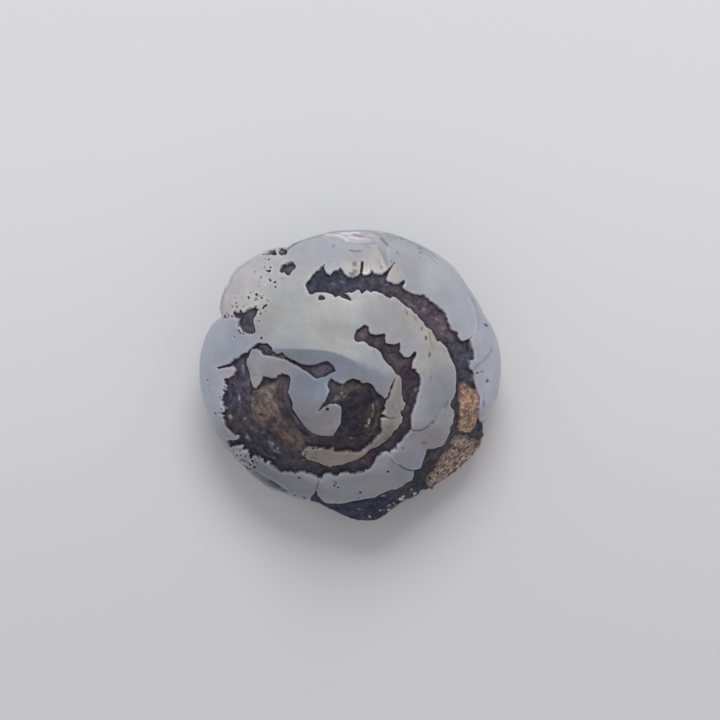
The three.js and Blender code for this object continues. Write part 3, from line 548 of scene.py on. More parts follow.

# Small stains on the stone, and a few painted highlights at its top edge: centre and half sizes in pixels,
# turn in degrees, colour, strength
STONE_STAINS_AND_HIGHLIGHTS = [
    (354.6, 264, 2.4, 2.6, 0, (96, 85, 86), 0.9), (357.6, 266.6, 2.6, 1.0, 0, (150, 138, 138), 0.7),
    (350.6, 268, 1.4, 4.0, 0, (168, 166, 156), 0.6), (355.4, 271.2, 2.8, 2.5, 0, (80, 78, 78), 0.95),
    (352, 274, 3.4, 1.8, 10, (72, 70, 72), 0.95), (363.8, 273.2, 1.4, 1.2, 0, (198, 190, 196), 0.9),
    (367.6, 270.6, 2.4, 2.4, 0, (184, 176, 164), 0.6), (366.6, 264, 1.6, 2.4, 0, (158, 148, 138), 0.4),
    (374, 269.6, 1.6, 2.0, 0, (168, 163, 153), 0.8), (380, 270.4, 4.0, 1.2, -4, (166, 156, 152), 0.8),
    (381.6, 267.4, 1.7, 1.9, 0, (134, 120, 122), 0.8), (383.4, 264, 1.0, 4.6, -18, (200, 186, 192), 0.6),
    (379.6, 263.6, 0.9, 4.4, -14, (166, 148, 148), 0.5), (333.4, 245.6, 1.8, 1.7, 0, (128, 134, 150), 0.8),
    (397.2, 252.6, 1.5, 1.6, 0, (132, 136, 148), 0.8), (420.4, 252.5, 1.2, 1.3, 0, (112, 114, 116), 0.9),
    (419.6, 248, 2.6, 0.9, 25, (134, 126, 132), 0.7), (421, 257.6, 1.6, 1.6, 0, (146, 148, 160), 0.5),
    (337.4, 264, 1.2, 1.6, 0, (166, 163, 152), 0.6), (401.9, 238.9, 1.5, 1.2, 20, (104, 106, 110), 0.8),
    # The three pale pink marks from x 364 to 372 at y 233 to 240 are painted highlights
    (391, 241.6, 1.2, 1.0, 0, (142, 140, 144), 0.6), (372, 240, 5.0, 1.6, 8, (196, 180, 186), 0.5),
    (364, 236.4, 3.0, 1.4, 20, (186, 168, 178), 0.5), (370.4, 233.6, 4.0, 1.0, 10, (178, 162, 170), 0.5),
    (404.6, 285.4, 1.2, 2.0, 20, (196, 196, 206), 0.6), (410, 289.6, 4.0, 0.9, 22, (176, 168, 162), 0.6),
    (407, 313.4, 1.0, 2.2, 0, (112, 104, 92), 0.85), (405.4, 310.6, 1.6, 2.6, -10, (144, 139, 126), 0.7),
    (411, 309.6, 2.6, 1.8, 40, (176, 166, 160), 0.6), (415.8, 319, 1.8, 4.2, -20, (150, 146, 132), 0.8),
    (417.6, 314.6, 1.4, 3.0, -35, (176, 171, 158), 0.5), (421.7, 328.4, 1.1, 2.2, 0, (106, 102, 96), 0.85),
    (426, 338, 1.3, 2.4, 0, (82, 80, 80), 0.9), (430, 337, 0.9, 8.0, -8, (136, 124, 122), 0.7),
    (433.4, 335, 1.0, 7.0, -22, (150, 138, 138), 0.8), (432.6, 346, 2.0, 5.0, -8, (156, 144, 147), 0.6),
    (429.6, 354.6, 1.2, 3.0, 0, (98, 93, 90), 0.9), (428.6, 328.6, 1.0, 2.4, -30, (150, 142, 134), 0.7),
    (431, 371, 1.4, 2.4, 0, (146, 150, 148), 0.6), (430.8, 378, 0.9, 3.4, 0, (124, 126, 130), 0.6),
    (444.6, 350.6, 1.8, 2.4, 0, (146, 148, 140), 0.5), (486, 325, 2.6, 1.3, 35, (80, 86, 90), 0.9),
    (473.4, 300, 1.0, 2.2, -25, (146, 148, 156), 0.6), (477.4, 372.8, 1.4, 1.2, 0, (86, 88, 92), 0.9),
    (482, 371.6, 2.0, 1.0, -25, (98, 100, 104), 0.85), (487.2, 380.6, 1.6, 1.8, 0, (70, 74, 86), 0.95),
    (475.4, 369.4, 1.0, 0.8, 0, (130, 130, 134), 0.7), (483.4, 404, 1.2, 3.4, 0, (120, 115, 116), 0.75),
    (424, 442.5, 3.0, 1.0, -3, (88, 88, 92), 0.85), (403, 448, 1.6, 1.1, 0, (92, 92, 96), 0.85),
    (430, 436, 0.8, 1.8, 0, (118, 116, 120), 0.7), (432.6, 422, 1.5, 1.5, 0, (100, 104, 110), 0.8),
    (388, 427, 1.5, 1.4, 0, (104, 100, 90), 0.8), (391, 417, 5.0, 2.0, 8, (128, 120, 120), 0.5),
    (385.6, 414, 2.0, 1.4, 30, (160, 152, 154), 0.6), (384.4, 421, 1.6, 2.4, 0, (150, 138, 146), 0.6),
    (401.4, 411.4, 1.0, 1.0, 0, (84, 76, 82), 0.8), (386, 424.6, 1.0, 2.0, 0, (138, 130, 122), 0.5),
    (446, 404, 2.2, 4.4, 20, (112, 109, 103), 0.65), (436.4, 416.4, 1.4, 1.0, 0, (132, 134, 142), 0.5),
    (229, 438.4, 7.0, 1.2, 2, (158, 154, 164), 0.7), (236, 448.8, 8.0, 1.2, 3, (136, 134, 146), 0.7),
    (251.6, 462, 4.0, 6.0, 10, (154, 146, 148), 0.7), (243, 464.6, 5.0, 3.0, 40, (162, 156, 158), 0.8),
    (250.6, 459.6, 0.9, 5.0, 5, (176, 168, 168), 0.7), (254.6, 457.6, 0.8, 4.4, 5, (140, 134, 138), 0.6),
    (254.6, 466.4, 1.6, 1.0, 20, (104, 96, 104), 0.7), (264.5, 468.4, 1.2, 1.4, 0, (92, 94, 108), 0.7),
    (259.6, 458, 3.0, 1.6, 0, (96, 94, 98), 0.8), (247.4, 468, 2.6, 0.9, 42, (74, 68, 72), 0.8),
    (236, 456, 3.0, 2.0, 0, (120, 124, 128), 0.5), (242, 460, 2.6, 0.9, 8, (70, 70, 76), 0.8),
    (258, 474.6, 3.6, 1.8, 32, (128, 132, 142), 0.6), (304.4, 497.8, 2.2, 1.0, 8, (60, 60, 68), 0.9),
    (302, 480.6, 1.4, 0.8, 0, (108, 108, 114), 0.6), (303.6, 492.4, 2.6, 0.9, 35, (118, 114, 122), 0.5),
    (309, 448.4, 4.0, 1.8, 0, (124, 124, 118), 0.8), (306.4, 452.6, 3.0, 2.0, 0, (112, 108, 104), 0.8),
    (316, 453.6, 1.6, 1.6, 0, (112, 100, 94), 0.8), (314.4, 457.8, 3.8, 0.9, 8, (88, 76, 70), 0.9),
    (310, 461.2, 3.0, 1.1, 25, (142, 126, 120), 0.7), (325, 452.4, 1.0, 2.4, -20, (126, 116, 110), 0.7),
    (336, 461.6, 6.0, 1.2, 0, (148, 136, 126), 0.6), (348, 456, 5.0, 1.6, -8, (132, 124, 122), 0.6),
    (386.4, 438.4, 2.8, 1.2, 0, (104, 98, 86), 0.8), (399.6, 384, 1.6, 8.0, 0, (136, 138, 138), 0.6),
    (390.6, 430, 2.0, 6.0, 10, (124, 122, 110), 0.7), (246.8, 471.8, 2.6, 1.0, 25, (168, 146, 136), 0.8),
]

# Faint lines in the matrix, given in the same way as those on the stone
MATRIX_STREAKS = [
    (1.2, -0.45, [(253, 389.5), (251, 397), (250, 406), (252, 415), (255, 421)]),
    (1.2, -0.35, [(259, 425), (266, 429), (272, 437), (278, 442), (286, 447)]),
    (1.1, -0.40, [(283, 385), (282.4, 395), (285, 405), (290, 415), (297, 425), (303, 432), (310, 438)]),
    (0.8, 0.60, [(286.6, 404), (290.6, 412), (296, 420), (303, 428)]),
    (0.9, -0.35, [(262, 400), (266, 408), (272, 415), (277, 424)]),
    (0.8, 0.40, [(268, 392), (272, 400), (277, 408), (283, 417)]),
    (1.0, 0.80, [(372, 388), (376, 397), (378, 408), (377.5, 418), (375, 427), (371, 434)]),
    (0.9, -0.40, [(369, 390), (372.6, 399), (374.6, 409), (373.6, 420), (370, 430)]),
    (0.8, 0.50, [(365, 437), (356, 443), (345, 446), (333, 446.5)]),
    (0.8, 0.40, [(300, 433), (310, 440), (322, 443.5)]),
    (1.3, 2.00, [(269, 441), (271, 447), (275, 451), (279.6, 452.4)]),
    (1.3, 1.60, [(246.6, 433.6), (250, 440)]),
    (1.0, 0.90, [(240, 396), (241, 404), (239, 410)]),
    (1.0, 0.80, [(244.6, 366), (244, 375), (246.6, 384)]),
    (1.0, -0.40, [(232, 384), (234, 394), (231, 402)]),
    (1.0, 0.60, [(258, 447), (264, 452), (268, 456)]),
    (1.1, -0.50, [(425, 452), (433, 451), (441, 448.6)]),
    (1.0, -0.50, [(448, 343), (452, 356), (457, 368), (459, 380)]),
    (1.0, -0.50, [(467, 340.6), (467.6, 350)]),
    (1.1, -0.60, [(474.4, 346), (475, 353), (474.6, 360)]),
    (0.9, 0.50, [(405, 300), (415, 307), (424, 316)]),
]

# The bluish inner whorls, their own blue deepened with painted shade, with a crisp upper left edge where the
# painted sheen above ends
INNER_BLUE_AND_SHADE_ZONE = [
    (247, 352), (252, 347), (272, 349), (285, 348.9), (298, 349.1), (310, 349.3), (320, 350), (328, 351),
    (335, 352.6), (341, 354.8), (347, 357.4), (353, 360.4), (360, 363.8), (368, 367.2), (376, 370.4),
    (385, 374), (394, 377), (390, 394), (384, 408), (345, 442),
    (300, 440), (288, 400), (290, 380), (262, 378), (255.5, 390), (249, 376), (246, 362),
]

# Soft patches of stone colour, partly painted light: centre and half sizes in pixels, turn in degrees,
# colour, strength
STONE_BASE = (163, 165, 174)
FLANK_COLOUR = (165, 168, 178)
STONE_PATCHES_AND_PAINTED_LIGHT = [
    # Lighter patches high up hold painted sheen and darker ones on the lower lobes painted shade, on top of
    # the stone's own tones
    (345, 244, 62, 16, 0, (169, 170, 179), 0.85),
    (455, 300, 22, 46, -35, (173, 176, 186), 0.8),
    (487, 352, 15, 46, -5, (172, 176, 190), 0.9),
    (493, 396, 12, 30, 10, (176, 180, 194), 0.9),
    (246, 284, 40, 28, -35, (189, 186, 191), 0.95),
    (266, 262, 18, 9, -15, (170, 172, 178), 0.8),
    (246, 303, 20, 12, -10, (197, 196, 197), 0.85),
    (322, 310, 66, 42, 8, (177, 178, 179), 0.95),
    (345, 338, 30, 16, 10, (166, 167, 168), 0.7),
    (388, 318, 42, 17, 35, (163, 162, 165), 0.9),
    (352, 266, 8, 10, 0, (171, 167, 163), 0.8),
    (366, 268, 4, 7, 0, (178, 171, 164), 0.8),
    (376, 258, 7, 11, -12, (182, 178, 170), 0.8),
    (379, 270, 7, 3, 0, (184, 177, 173), 0.7),
    (395, 274, 7, 9, 20, (174, 165, 164), 0.8),
    # These two are painted highlights along the top edge
    (354, 235.5, 16, 5, 4, (190, 187, 193), 0.6),
    (370, 239, 12, 7, 15, (180, 171, 179), 0.7),
    (214, 372, 20, 62, 0, (170, 177, 191), 0.95),
    (230, 342, 26, 15, -20, (161, 168, 182), 0.9),
    (230, 374, 10, 8, -20, (178, 172, 180), 0.7),
    (434, 352, 16, 34, -12, (168, 166, 168), 0.95),
    (420, 325, 10, 22, -35, (180, 175, 169), 0.7),
    (420, 366, 8, 8, -20, (176, 170, 164), 0.7),
    # From here on, the darker patches on the lower lobes are partly painted shade
    (441, 398, 16, 30, 0, (149, 150, 158), 0.95),
    (427, 438, 26, 14, 0, (144, 140, 147), 0.95),
    (408, 462, 22, 13, -30, (144, 142, 157), 0.9),
    (366, 487, 56, 15, -8, (140, 141, 149), 0.95),
    (290, 484, 34, 12, 15, (122, 124, 138), 0.95),
    (262, 473, 24, 11, 35, (117, 117, 130), 0.95),
    (224, 438, 15, 15, 50, (136, 134, 148), 0.85),
    (215, 425, 8, 14, 20, (150, 158, 166), 0.6),
]
# The inner whorls' own blue, darkened with painted shade, and its patches
INNER_BLUE_AND_SHADE_BASE = (128, 135, 149)
INNER_BLUE_AND_SHADE_PATCHES = [
    (268, 364, 28, 12, 12, (150, 151, 156), 0.95),
    (256, 380, 6, 12, 0, (162, 163, 162), 0.9),
    (270, 371, 14, 5, 5, (152, 147, 155), 0.7),
    (372, 384, 22, 12, 15, (136, 138, 146), 0.9),
    (330, 357, 44, 9, 2, (118, 123, 135), 0.85),
    (322, 420, 20, 16, 0, (130, 128, 130), 0.95),
    (325, 431, 22, 8, 0, (138, 132, 141), 0.8),
    (305, 408, 12, 10, 0, (130, 130, 137), 0.8),
]
TAN_SLIVER = (333, 458, 38, 12, -2, (137, 126, 118), 1.0)
GREY_STRIP = (394, 404, 11, 32, 4, (146, 140, 139), 1.0)
GREY_STRIP_FOOT = (386, 434, 10, 12, 25, (131, 125, 121), 1.0)
RING_PATCHES = [GREY_STRIP, GREY_STRIP_FOOT, (374, 446, 9, 6, -30, (132, 122, 128), 1.0), TAN_SLIVER]

# Matrix colours, the painted shade that darkens the matrix towards the rims of its recesses, and how soft its
# sand's edges are
DARK_MATRIX = (68, 63, 72)
ORANGE_SAND_COLOUR = (186, 152, 132)
GREY_SAND_COLOUR = (182, 158, 148)
# Painted shade: the matrix is darkest at a recess rim and a little lighter in its middle
RIM_PAINTED_SHADE = 0.56
MIDDLE_PAINTED_SHADE = 1.1
PAINTED_SHADE_SLOPE = (-0.03, -0.39)
GREY_SAND_EDGE = 0.5
ORANGE_SAND_EDGE = 0.25
BROWN_EDGE = 0.22
SOIL_PATCHES = [
    (330, 284, 30, 13, 0, (57, 60, 76), 0.9),
    (378, 284, 26, 10, 0, (70, 68, 80), 0.9),
    (420, 306, 28, 14, 42, (82, 73, 84), 0.95),
    (446, 328, 12, 10, 45, (86, 76, 86), 0.9),
    (462, 358, 13, 24, 0, (70, 68, 82), 0.95),
    (366, 333, 13, 10, 0, (80, 73, 76), 0.9),
    (392, 354, 20, 13, 42, (70, 62, 68), 0.9),
    (410, 376, 9, 14, 0, (52, 40, 57), 0.9),
    (411, 402, 8, 24, 5, (72, 60, 70), 0.9),
    (404, 436, 12, 14, 40, (66, 54, 66), 0.9),
    (370, 458, 18, 10, -35, (72, 58, 72), 0.9),
    (320, 370, 14, 8, 0, (84, 78, 90), 0.9),
    (262, 350, 16, 6, 15, (70, 68, 76), 0.8),
    (238, 388, 14, 32, 0, (74, 70, 88), 0.95),
    (240, 424, 15, 18, 0, (70, 64, 72), 0.9),
    (262, 450, 26, 14, 30, (52, 49, 62), 0.9),
    (318, 471, 42, 7, 2, (60, 54, 68), 0.9),
    (360, 412, 24, 30, 0, (40, 37, 47), 0.95),
    (348, 386, 14, 6, 0, (70, 62, 62), 0.9),
    (372, 428, 8, 18, 5, (66, 60, 58), 0.8),
    (340, 444, 30, 7, 0, (54, 46, 55), 0.9),
    (300, 436, 10, 22, -45, (74, 60, 72), 0.9),
    (284, 398, 5, 24, -10, (72, 66, 74), 0.8),
    (366, 508, 60, 14, 0, (48, 51, 71), 0.95),
    (426, 478, 20, 16, -45, (46, 46, 59), 0.9),
    (481, 432, 5, 14, 0, (74, 62, 76), 0.8),
    (247, 321, 14, 15, 0, (80, 81, 93), 0.95),
    (287, 268, 9, 9, 0, (72, 70, 78), 0.9),
]

BROWN_BASE = (110, 97, 95)
BROWN_PATCHES = [
    (283, 436, 22, 10, 42, (88, 75, 76), 0.95),
    (274, 436, 12, 4, 30, (72, 58, 66), 0.95),
    (255, 404, 5, 16, 0, (112, 104, 98), 0.8),
    (270, 394, 6, 8, 0, (114, 106, 97), 0.7),
    (264, 404, 8, 10, 0, (120, 104, 98), 0.7),
    (283, 431, 14, 3, 38, (99, 87, 84), 0.8),
    (292, 442, 12, 3, 35, (106, 90, 90), 0.8),
    (281, 392, 5, 12, -8, (72, 66, 72), 0.95),
    (284, 414, 5, 10, -25, (66, 56, 66), 0.9),
]

# Zones of fine dark freckles on the stone: centre and half sizes in pixels, turn, strength
FRECKLE_ZONES = [
    (246, 459, 18, 10, 35, 1.0), (248, 306, 20, 16, 0, 0.8), (266, 274, 14, 16, 20, 0.7),
    (224, 404, 6, 26, 0, 0.7), (432, 482, 9, 6, -40, 1.0), (338, 488, 14, 9, 0, 0.35),
    (396, 418, 10, 20, 0, 0.35), (422, 328, 10, 20, -35, 0.35), (318, 448, 22, 3, 0, 0.8),
    (320, 465, 22, 3, 2, 0.8), (305, 456, 5, 8, 0, 0.9), (228, 446, 12, 8, 30, 0.6),
]

# Shading layers: size in millimetres, detail, roughness and stretch of a noise, then its range and tones
EVEN = (1.0, 1.0, 1.0)
FLANK_STRETCH = (1.0, 1.0, 0.12)
SAND_STRETCH = (1.0, 0.6, 1.0)
STONE_TONES = [
    (3.0, 3.0, 0.5, EVEN, 0.3, 0.7, 0.93, 1.05),
    (0.8, 3.0, 0.5, EVEN, 0.35, 0.65, 0.98, 1.015),
    (1.0, 3.0, 0.55, FLANK_STRETCH, 0.35, 0.65, 0.975, 1.02),
    (0.22, 3.0, 0.6, EVEN, 0.3, 0.7, 0.965, 1.035),
]
STONE_HUE = (4.0, 2.0, 0.5, EVEN, 0.35, 0.65, 0.0, 1.0)
STONE_TINTS = ((0.985, 1.0, 1.02, 1.0), (1.02, 1.0, 0.985, 1.0))
STONE_GLOSS = (1.1, 3.0, 0.5, EVEN, 0.3, 0.7, 0.28, 0.42)
SOIL_TONES = [
    (0.25, 2.0, 0.5, EVEN, 0.32, 0.68, 0.88, 1.1),
    (0.7, 3.0, 0.55, EVEN, 0.34, 0.66, 0.62, 1.4),
]
SOIL_HUE = (1.4, 3.0, 0.5, EVEN, 0.35, 0.65, 0.0, 1.0)
SOIL_TINTS = ((0.97, 1.0, 1.03, 1.0), (1.04, 0.99, 0.97, 1.0))
SOIL_GLOSS = (0.4, 2.0, 0.5, EVEN, 0.3, 0.7, 0.65, 0.95)

# Sizes of the material's own detail and of a painted light rim, in millimetres, with tones for grey sand and
# then for orange sand
EDGE_RAG = (0.35, 2.0)
EDGE_RAG_WIDTH = 0.14
EDGE_BLUR = 0.055
FRECKLE_CELL = 0.36
FRECKLE_CHOICE = (0.32, 0.7)
FRECKLE_LARGEST = 0.44
FRECKLE_FRAY = (0.15, 2.0)
FRECKLE_FRAY_WIDTH = 0.4
FRECKLE_BLUR = 0.1
# A painted light rim: the stone is lighter in a narrow strip along the matrix
RIM_HIGHLIGHT_STRIP = (0.04, 0.34)
RIM_PAINTED_HIGHLIGHT = (1.17, 1.12, 1.15, 1.0)
CRACK_STRENGTH = 0.8
CRACK_COLOUR = (0.04, 0.035, 0.04, 1.0)
GRIT_CELL = 0.42
GRIT_RANGE = (0.1, 0.7)
GRIT_DARK = (0.6, 0.75)
SAND_STRANDS = (0.45, 3.0, 0.6, SAND_STRETCH)
SAND_STRAND_RANGE = (0.40, 0.60)
SAND_STRAND_DARK = (0.26, 0.5)
SAND_LIGHT = 1.2
PALE_GRAIN = (0.3, 1.0)
PALE_FROM = (0.70, 0.62)
PALE_BLUR = 0.08
PALE_STRENGTH = 0.3
PALE_IN_SAND = 2.4
PALE_COLOURS = ((0.30, 0.27, 0.25, 1.0), (0.62, 0.52, 0.46, 1.0))

# Bumps: noise settings, then height in millimetres and strength
STONE_SWELL = (0.9, 3.0)
STONE_SWELL_BUMP = (0.02, 0.5)
STONE_STRIAE = (0.8, 3.0, 0.5, FLANK_STRETCH)
STONE_STRIAE_BUMP = (0.03, 0.5)
SOIL_LUMPS = (0.8, 4.0, 0.6)
SOIL_LUMP_BUMP = (0.12, 0.8)
SOIL_GRAIN_CELL = 0.3
SOIL_GRAIN_BUMP = (0.05, 0.6)

STONE_FINISH = {
    "IOR": 1.54,
    "Subsurface Weight": 0.3,
    "Subsurface Radius": (1.0, 0.95, 1.1),
    "Subsurface Scale": 1.2 * MILLIMETRE,
}
SOIL_FINISH = {"Specular IOR Level": 0.3}
CARD_FINISH = {"Roughness": 0.9}

# The studio, in metres
FLOOR_WIDTH = 3.0
# The card's painted shade: darker towards the picture's lower edge, away from the window
FLOOR_PAINTED_SHADE_SPAN = (-0.034, 0.03)
FLOOR_SHADED_COLOUR = (0.665, 0.66, 0.69, 1.0)
FLOOR_LIT_COLOUR = (0.78, 0.78, 0.795, 1.0)
WORLD_COLOUR = (1.0, 1.0, 1.0, 1.0)
WORLD_STRENGTH = 0.52
WINDOW_PLACE = (0.03, 0.48, 0.58)
WINDOW_TARGET = (0, 0, 0.008)
WINDOW_SIZE = 0.40
WINDOW_POWER = 2.7

# Sockets of the mix node that hold colours
MIX_INPUTS = (6, 7)
MIX_RESULT = 2


def rise(value, start, end):
    """0 at the start and 1 at the end, with a smooth rise between. The end may lie below the start."""
    t = np.clip((value - start) / (end - start), 0.0, 1.0)
    return t * t * (3 - 2 * t)


def within(distance, width):
    """1 inside an outline and 0 outside, changing over a strip of the given width along it."""
    return rise(distance, width / 2, -width / 2)


def soft_min(a, b, softness):
    overlap = np.maximum(softness - np.abs(a - b), 0.0) / softness
    return np.minimum(a, b) - overlap * overlap * softness / 4


def soft_max(a, b, softness):
    return -soft_min(-a, -b, softness)


def coil_rotation():
    """Columns are the coil's own axes: turning a point by this matrix from the right gives its coil place."""
    axis = np.array([-np.sin(LEAN_DIRECTION), np.cos(LEAN_DIRECTION), 0.0])
    cross = np.array([[0, -axis[2], axis[1]], [axis[2], 0, -axis[0]], [-axis[1], axis[0], 0]])
    return np.eye(3) + np.sin(COIL_TILT) * cross + (1 - np.cos(COIL_TILT)) * cross @ cross


COIL_ROTATION = coil_rotation()


def coil_place(points):
    """Radius, height and clockwise turn from +Y of each point, in the coil's own frame."""
    local = (points - APEX) @ COIL_ROTATION
    turn = QUARTER_TURN - np.arctan2(local[:, 1], local[:, 0]) / FULL_TURN
    return np.hypot(local[:, 0], local[:, 1]), local[:, 2], turn % 1


def whorl_radius(n):
    return WHORL_PITCH * n + WHORL_GROWTH * n * n - MOUTH_NARROWING * np.maximum(n - MOUTH_START, 0)


def whorl_level(n):
    drop = LAST_WHORL_DROP * np.maximum(n - LAST_WHORL_START, 0)
    dip = NUCLEUS_DIP * np.maximum(1 - n, 0) ** 2
    return -LEVEL_FACTOR * whorl_radius(n) ** LEVEL_POWER - drop - dip


def oval_section(r, z, outer, level, half_width, half_height):
    ratio = np.hypot((r - outer + half_width) / half_width, (z - level) / half_height)
    return (ratio - 1) * np.minimum(half_width, half_height)


def ellipsoid(points, centre, half):
    ratio = np.linalg.norm((points - np.array(centre)) / np.array(half), axis=1)
    return (ratio - 1) * min(half)


def axis_oval(r, z, level, half_width, half_height):
    """Distance to a flattened ball on the coil's axis."""
    return (np.hypot(r / half_width, (z - level) / half_height) - 1) * half_height


def arc_past(n, turns, r):
    """Arc length from a turn of the coil, positive past it."""
    return (n - turns) * FULL_TURN * r


def whorls(r, z, clock):
    """Distance to the coiled tube, whorl by whorl, with a smooth nucleus at the apex."""
    distance = np.full(r.shape, REACH)
    for turn in range(WHORL_COUNT):
        n = turn + clock
        held = np.minimum(n, WHORL_TURNS)
        outer = whorl_radius(held)
        half_width = SECTION_WIDTH * outer + SECTION_MARGIN
        half_height = SECTION_HEIGHT * outer + SECTION_MARGIN + np.maximum(held - LAST_WHORL_START, 0)
        section = oval_section(r, z, outer, whorl_level(held), half_width, half_height)
        ended = soft_max(section, arc_past(n, WHORL_TURNS, r), EDGE_SOFTNESS)
        section = np.where(n > MOUTH_START, ended, section)
        softness = SUTURE_SOFTNESS * np.clip(n / SUTURE_GROWTH_TURNS, SUTURE_LEAST, 1)
        distance = soft_min(distance, section, softness)
    *nucleus, softness = NUCLEUS
    return soft_min(distance, axis_oval(r, z, *nucleus), softness)


def matrix_lump(points, r, z, clock):
    """Distance to the matrix: the plug beyond the mouth, the keel under it and the filled umbilicus."""
    n = WHORL_COUNT - 1 + clock
    outer = whorl_radius(WHORL_TURNS) - PLUG_INSET - PLUG_TAPER * np.maximum(n - WHORL_TURNS, 0)
    level = whorl_level(WHORL_TURNS) + PLUG_LIFT
    plug = oval_section(r, z, outer, level, PLUG_WIDTH * outer, PLUG_HEIGHT * outer)
    plug = soft_max(plug, arc_past(n, PLUG_END, r), PLUG_SOFTNESS)
    plug = soft_max(plug, -arc_past(n, PLUG_START, r), PLUG_SOFTNESS)
    *keel, softness = MATRIX_KEEL
    lump = soft_min(plug, ellipsoid(points, *keel), softness)
    *umbilicus, softness = UMBILICUS
    return soft_min(lump, axis_oval(r, z, *umbilicus), softness)


def plan_ratio(angle):
    count = len(PLAN_RATIOS)
    step = (angle / FULL_TURN * count) % count
    index = np.floor(step).astype(int)
    blend = rise(step - index, 0, 1)
    return PLAN_RATIOS[index % count] * (1 - blend) + PLAN_RATIOS[(index + 1) % count] * blend


def to_plan(outline):
    """Picture pixels to millimetres on the plan."""
    pixels = np.array(outline, dtype=float)
    return (pixels - ORIGIN_PIXEL) * [1, -1] / PIXELS_PER_MM


def to_pixels(plan):
    return plan * [1, -1] * PIXELS_PER_MM + ORIGIN_PIXEL


def camera_plan():
    return to_plan([(PICTURE_PIXELS / 2, PICTURE_PIXELS / 2)])[0]


def seen_plan(points):
    """Where the camera sees each point, as a plan place at the height where the picture's scale is true."""
    eye = camera_plan()
    scale = (CAMERA_HEIGHT - SHARP_HEIGHT) / (CAMERA_HEIGHT - points[:, 2])
    return eye + (points[:, :2] - eye) * scale[:, None]


def map_grid():
    steps = np.arange(-MAP_HALF_WIDTH, MAP_HALF_WIDTH + MAP_STEP, MAP_STEP)
    return np.meshgrid(steps, steps, indexing="ij")


GRID_X, GRID_Y = map_grid()


def line_distance(points, closed):
    """Distance from every map place to a line through the points."""
    nearest = np.full(GRID_X.shape, REACH)
    ends = np.roll(points, -1, axis=0)
    count = len(points) if closed else len(points) - 1
    for (ax, ay), (bx, by) in zip(points[:count], ends[:count]):
        ex, ey = bx - ax, by - ay
        along = np.clip(((GRID_X - ax) * ex + (GRID_Y - ay) * ey) / (ex * ex + ey * ey), 0, 1)
        np.minimum(nearest, np.hypot(GRID_X - ax - along * ex, GRID_Y - ay - along * ey), out=nearest)
    return nearest


def outline_map(outline):
    """Signed distance to an outline, negative inside, as a map over the plan."""
    points = to_plan(outline)
    inside = np.zeros(GRID_X.shape, dtype=bool)
    for (ax, ay), (bx, by) in zip(points, np.roll(points, -1, axis=0)):
        if ay != by:
            between = (ay > GRID_Y) != (by > GRID_Y)
            inside ^= between & (GRID_X < (bx - ax) * (GRID_Y - ay) / (by - ay) + ax)
    distance = line_distance(points, closed=True)
    return np.where(inside, -distance, distance)


def nearest_outline(*outlines):
    return np.min([outline_map(outline) for outline in outlines], axis=0)


def spot_map(spots):
    """Distance to the nearest spot, each given as x, y and radius in pixels."""
    nearest = np.full(GRID_X.shape, REACH)
    for x, y, radius in spots:
        (px, py), = to_plan([(x, y)])
        np.minimum(nearest, np.hypot(GRID_X - px, GRID_Y - py) - radius / PIXELS_PER_MM, out=nearest)
    return nearest


def crack_map():
    cracks = [line_distance(to_plan(line), closed=False) - half / PIXELS_PER_MM for half, line in CRACKS]
    return np.min(cracks, axis=0)


def streak_maps(streaks):
    """How much lighter or darker the streaks make each place, and the distance to the nearest of them."""
    change = np.zeros(GRID_X.shape)
    nearest = np.full(GRID_X.shape, REACH)
    for half_width, strength, line in streaks:
        distance = line_distance(to_plan(line), closed=False)
        change += strength * rise(distance * PIXELS_PER_MM / half_width, *STREAK_FADE)
        np.minimum(nearest, distance, out=nearest)
    return change, nearest


def look_up(plan_map, plan):
    """The map's value at plan places, by bilinear interpolation."""
    last = len(GRID_X) - 1
    place = np.clip((plan + MAP_HALF_WIDTH) / MAP_STEP, 0, last)
    cell = np.minimum(place.astype(int), last - 1)
    u, v = (place - cell).T
    i, j = cell.T
    low = plan_map[i, j] * (1 - u) + plan_map[i + 1, j] * u
    high = plan_map[i, j + 1] * (1 - u) + plan_map[i + 1, j + 1] * u
    return low * (1 - v) + high * v


def blurred(plan_map, cells):
    """The map averaged over a square neighbourhood, twice over."""
    for axis in (0, 1, 0, 1):
        shifts = [np.roll(plan_map, step, axis) for step in range(-cells, cells + 1)]
        plan_map = np.mean(shifts, axis=0)
    return plan_map


def make_maps():
    silhouette = outline_map(SILHOUETTE)
    streaks, streak_lines = streak_maps(STONE_STREAKS_AND_HIGHLIGHTS)
    matrix_streaks, matrix_lines = streak_maps(MATRIX_STREAKS)
    inner = outline_map(INNER_BLUE_AND_SHADE_ZONE)
    arc = np.where(GRID_X < to_plan([(INNER_ARC_END, 0)])[0, 0], np.abs(inner), REACH)
    spots = [(x, y, max(half_x, half_y)) for x, y, half_x, half_y, *_ in SPARKS + STONE_STAINS_AND_HIGHLIGHTS]
    spot_lines = np.maximum(spot_map(spots), 0)
    return {
        "silhouette": silhouette,
        "low silhouette": blurred(silhouette, OUTLINE_BLUR_CELLS),
        "bands": nearest_outline(OUTER_BAND, MIDDLE_BAND, TOP_PATCH, NOTCH_WINDOW, EDGE_SLIVER, EDGE_SPOT),
        "specks": spot_map(SPECKS),
        "cracks": crack_map(),
        "streaks": streaks,
        "matrix streaks": matrix_streaks,
        "lines": np.min([streak_lines, matrix_lines, spot_lines, arc], axis=0),
        "inner": inner,
        "orange": outline_map(ORANGE_SAND),
        "grey": outline_map(GREY_SAND),
        "brown": outline_map(BROWN_PATCH),
    }


MAPS = make_maps()


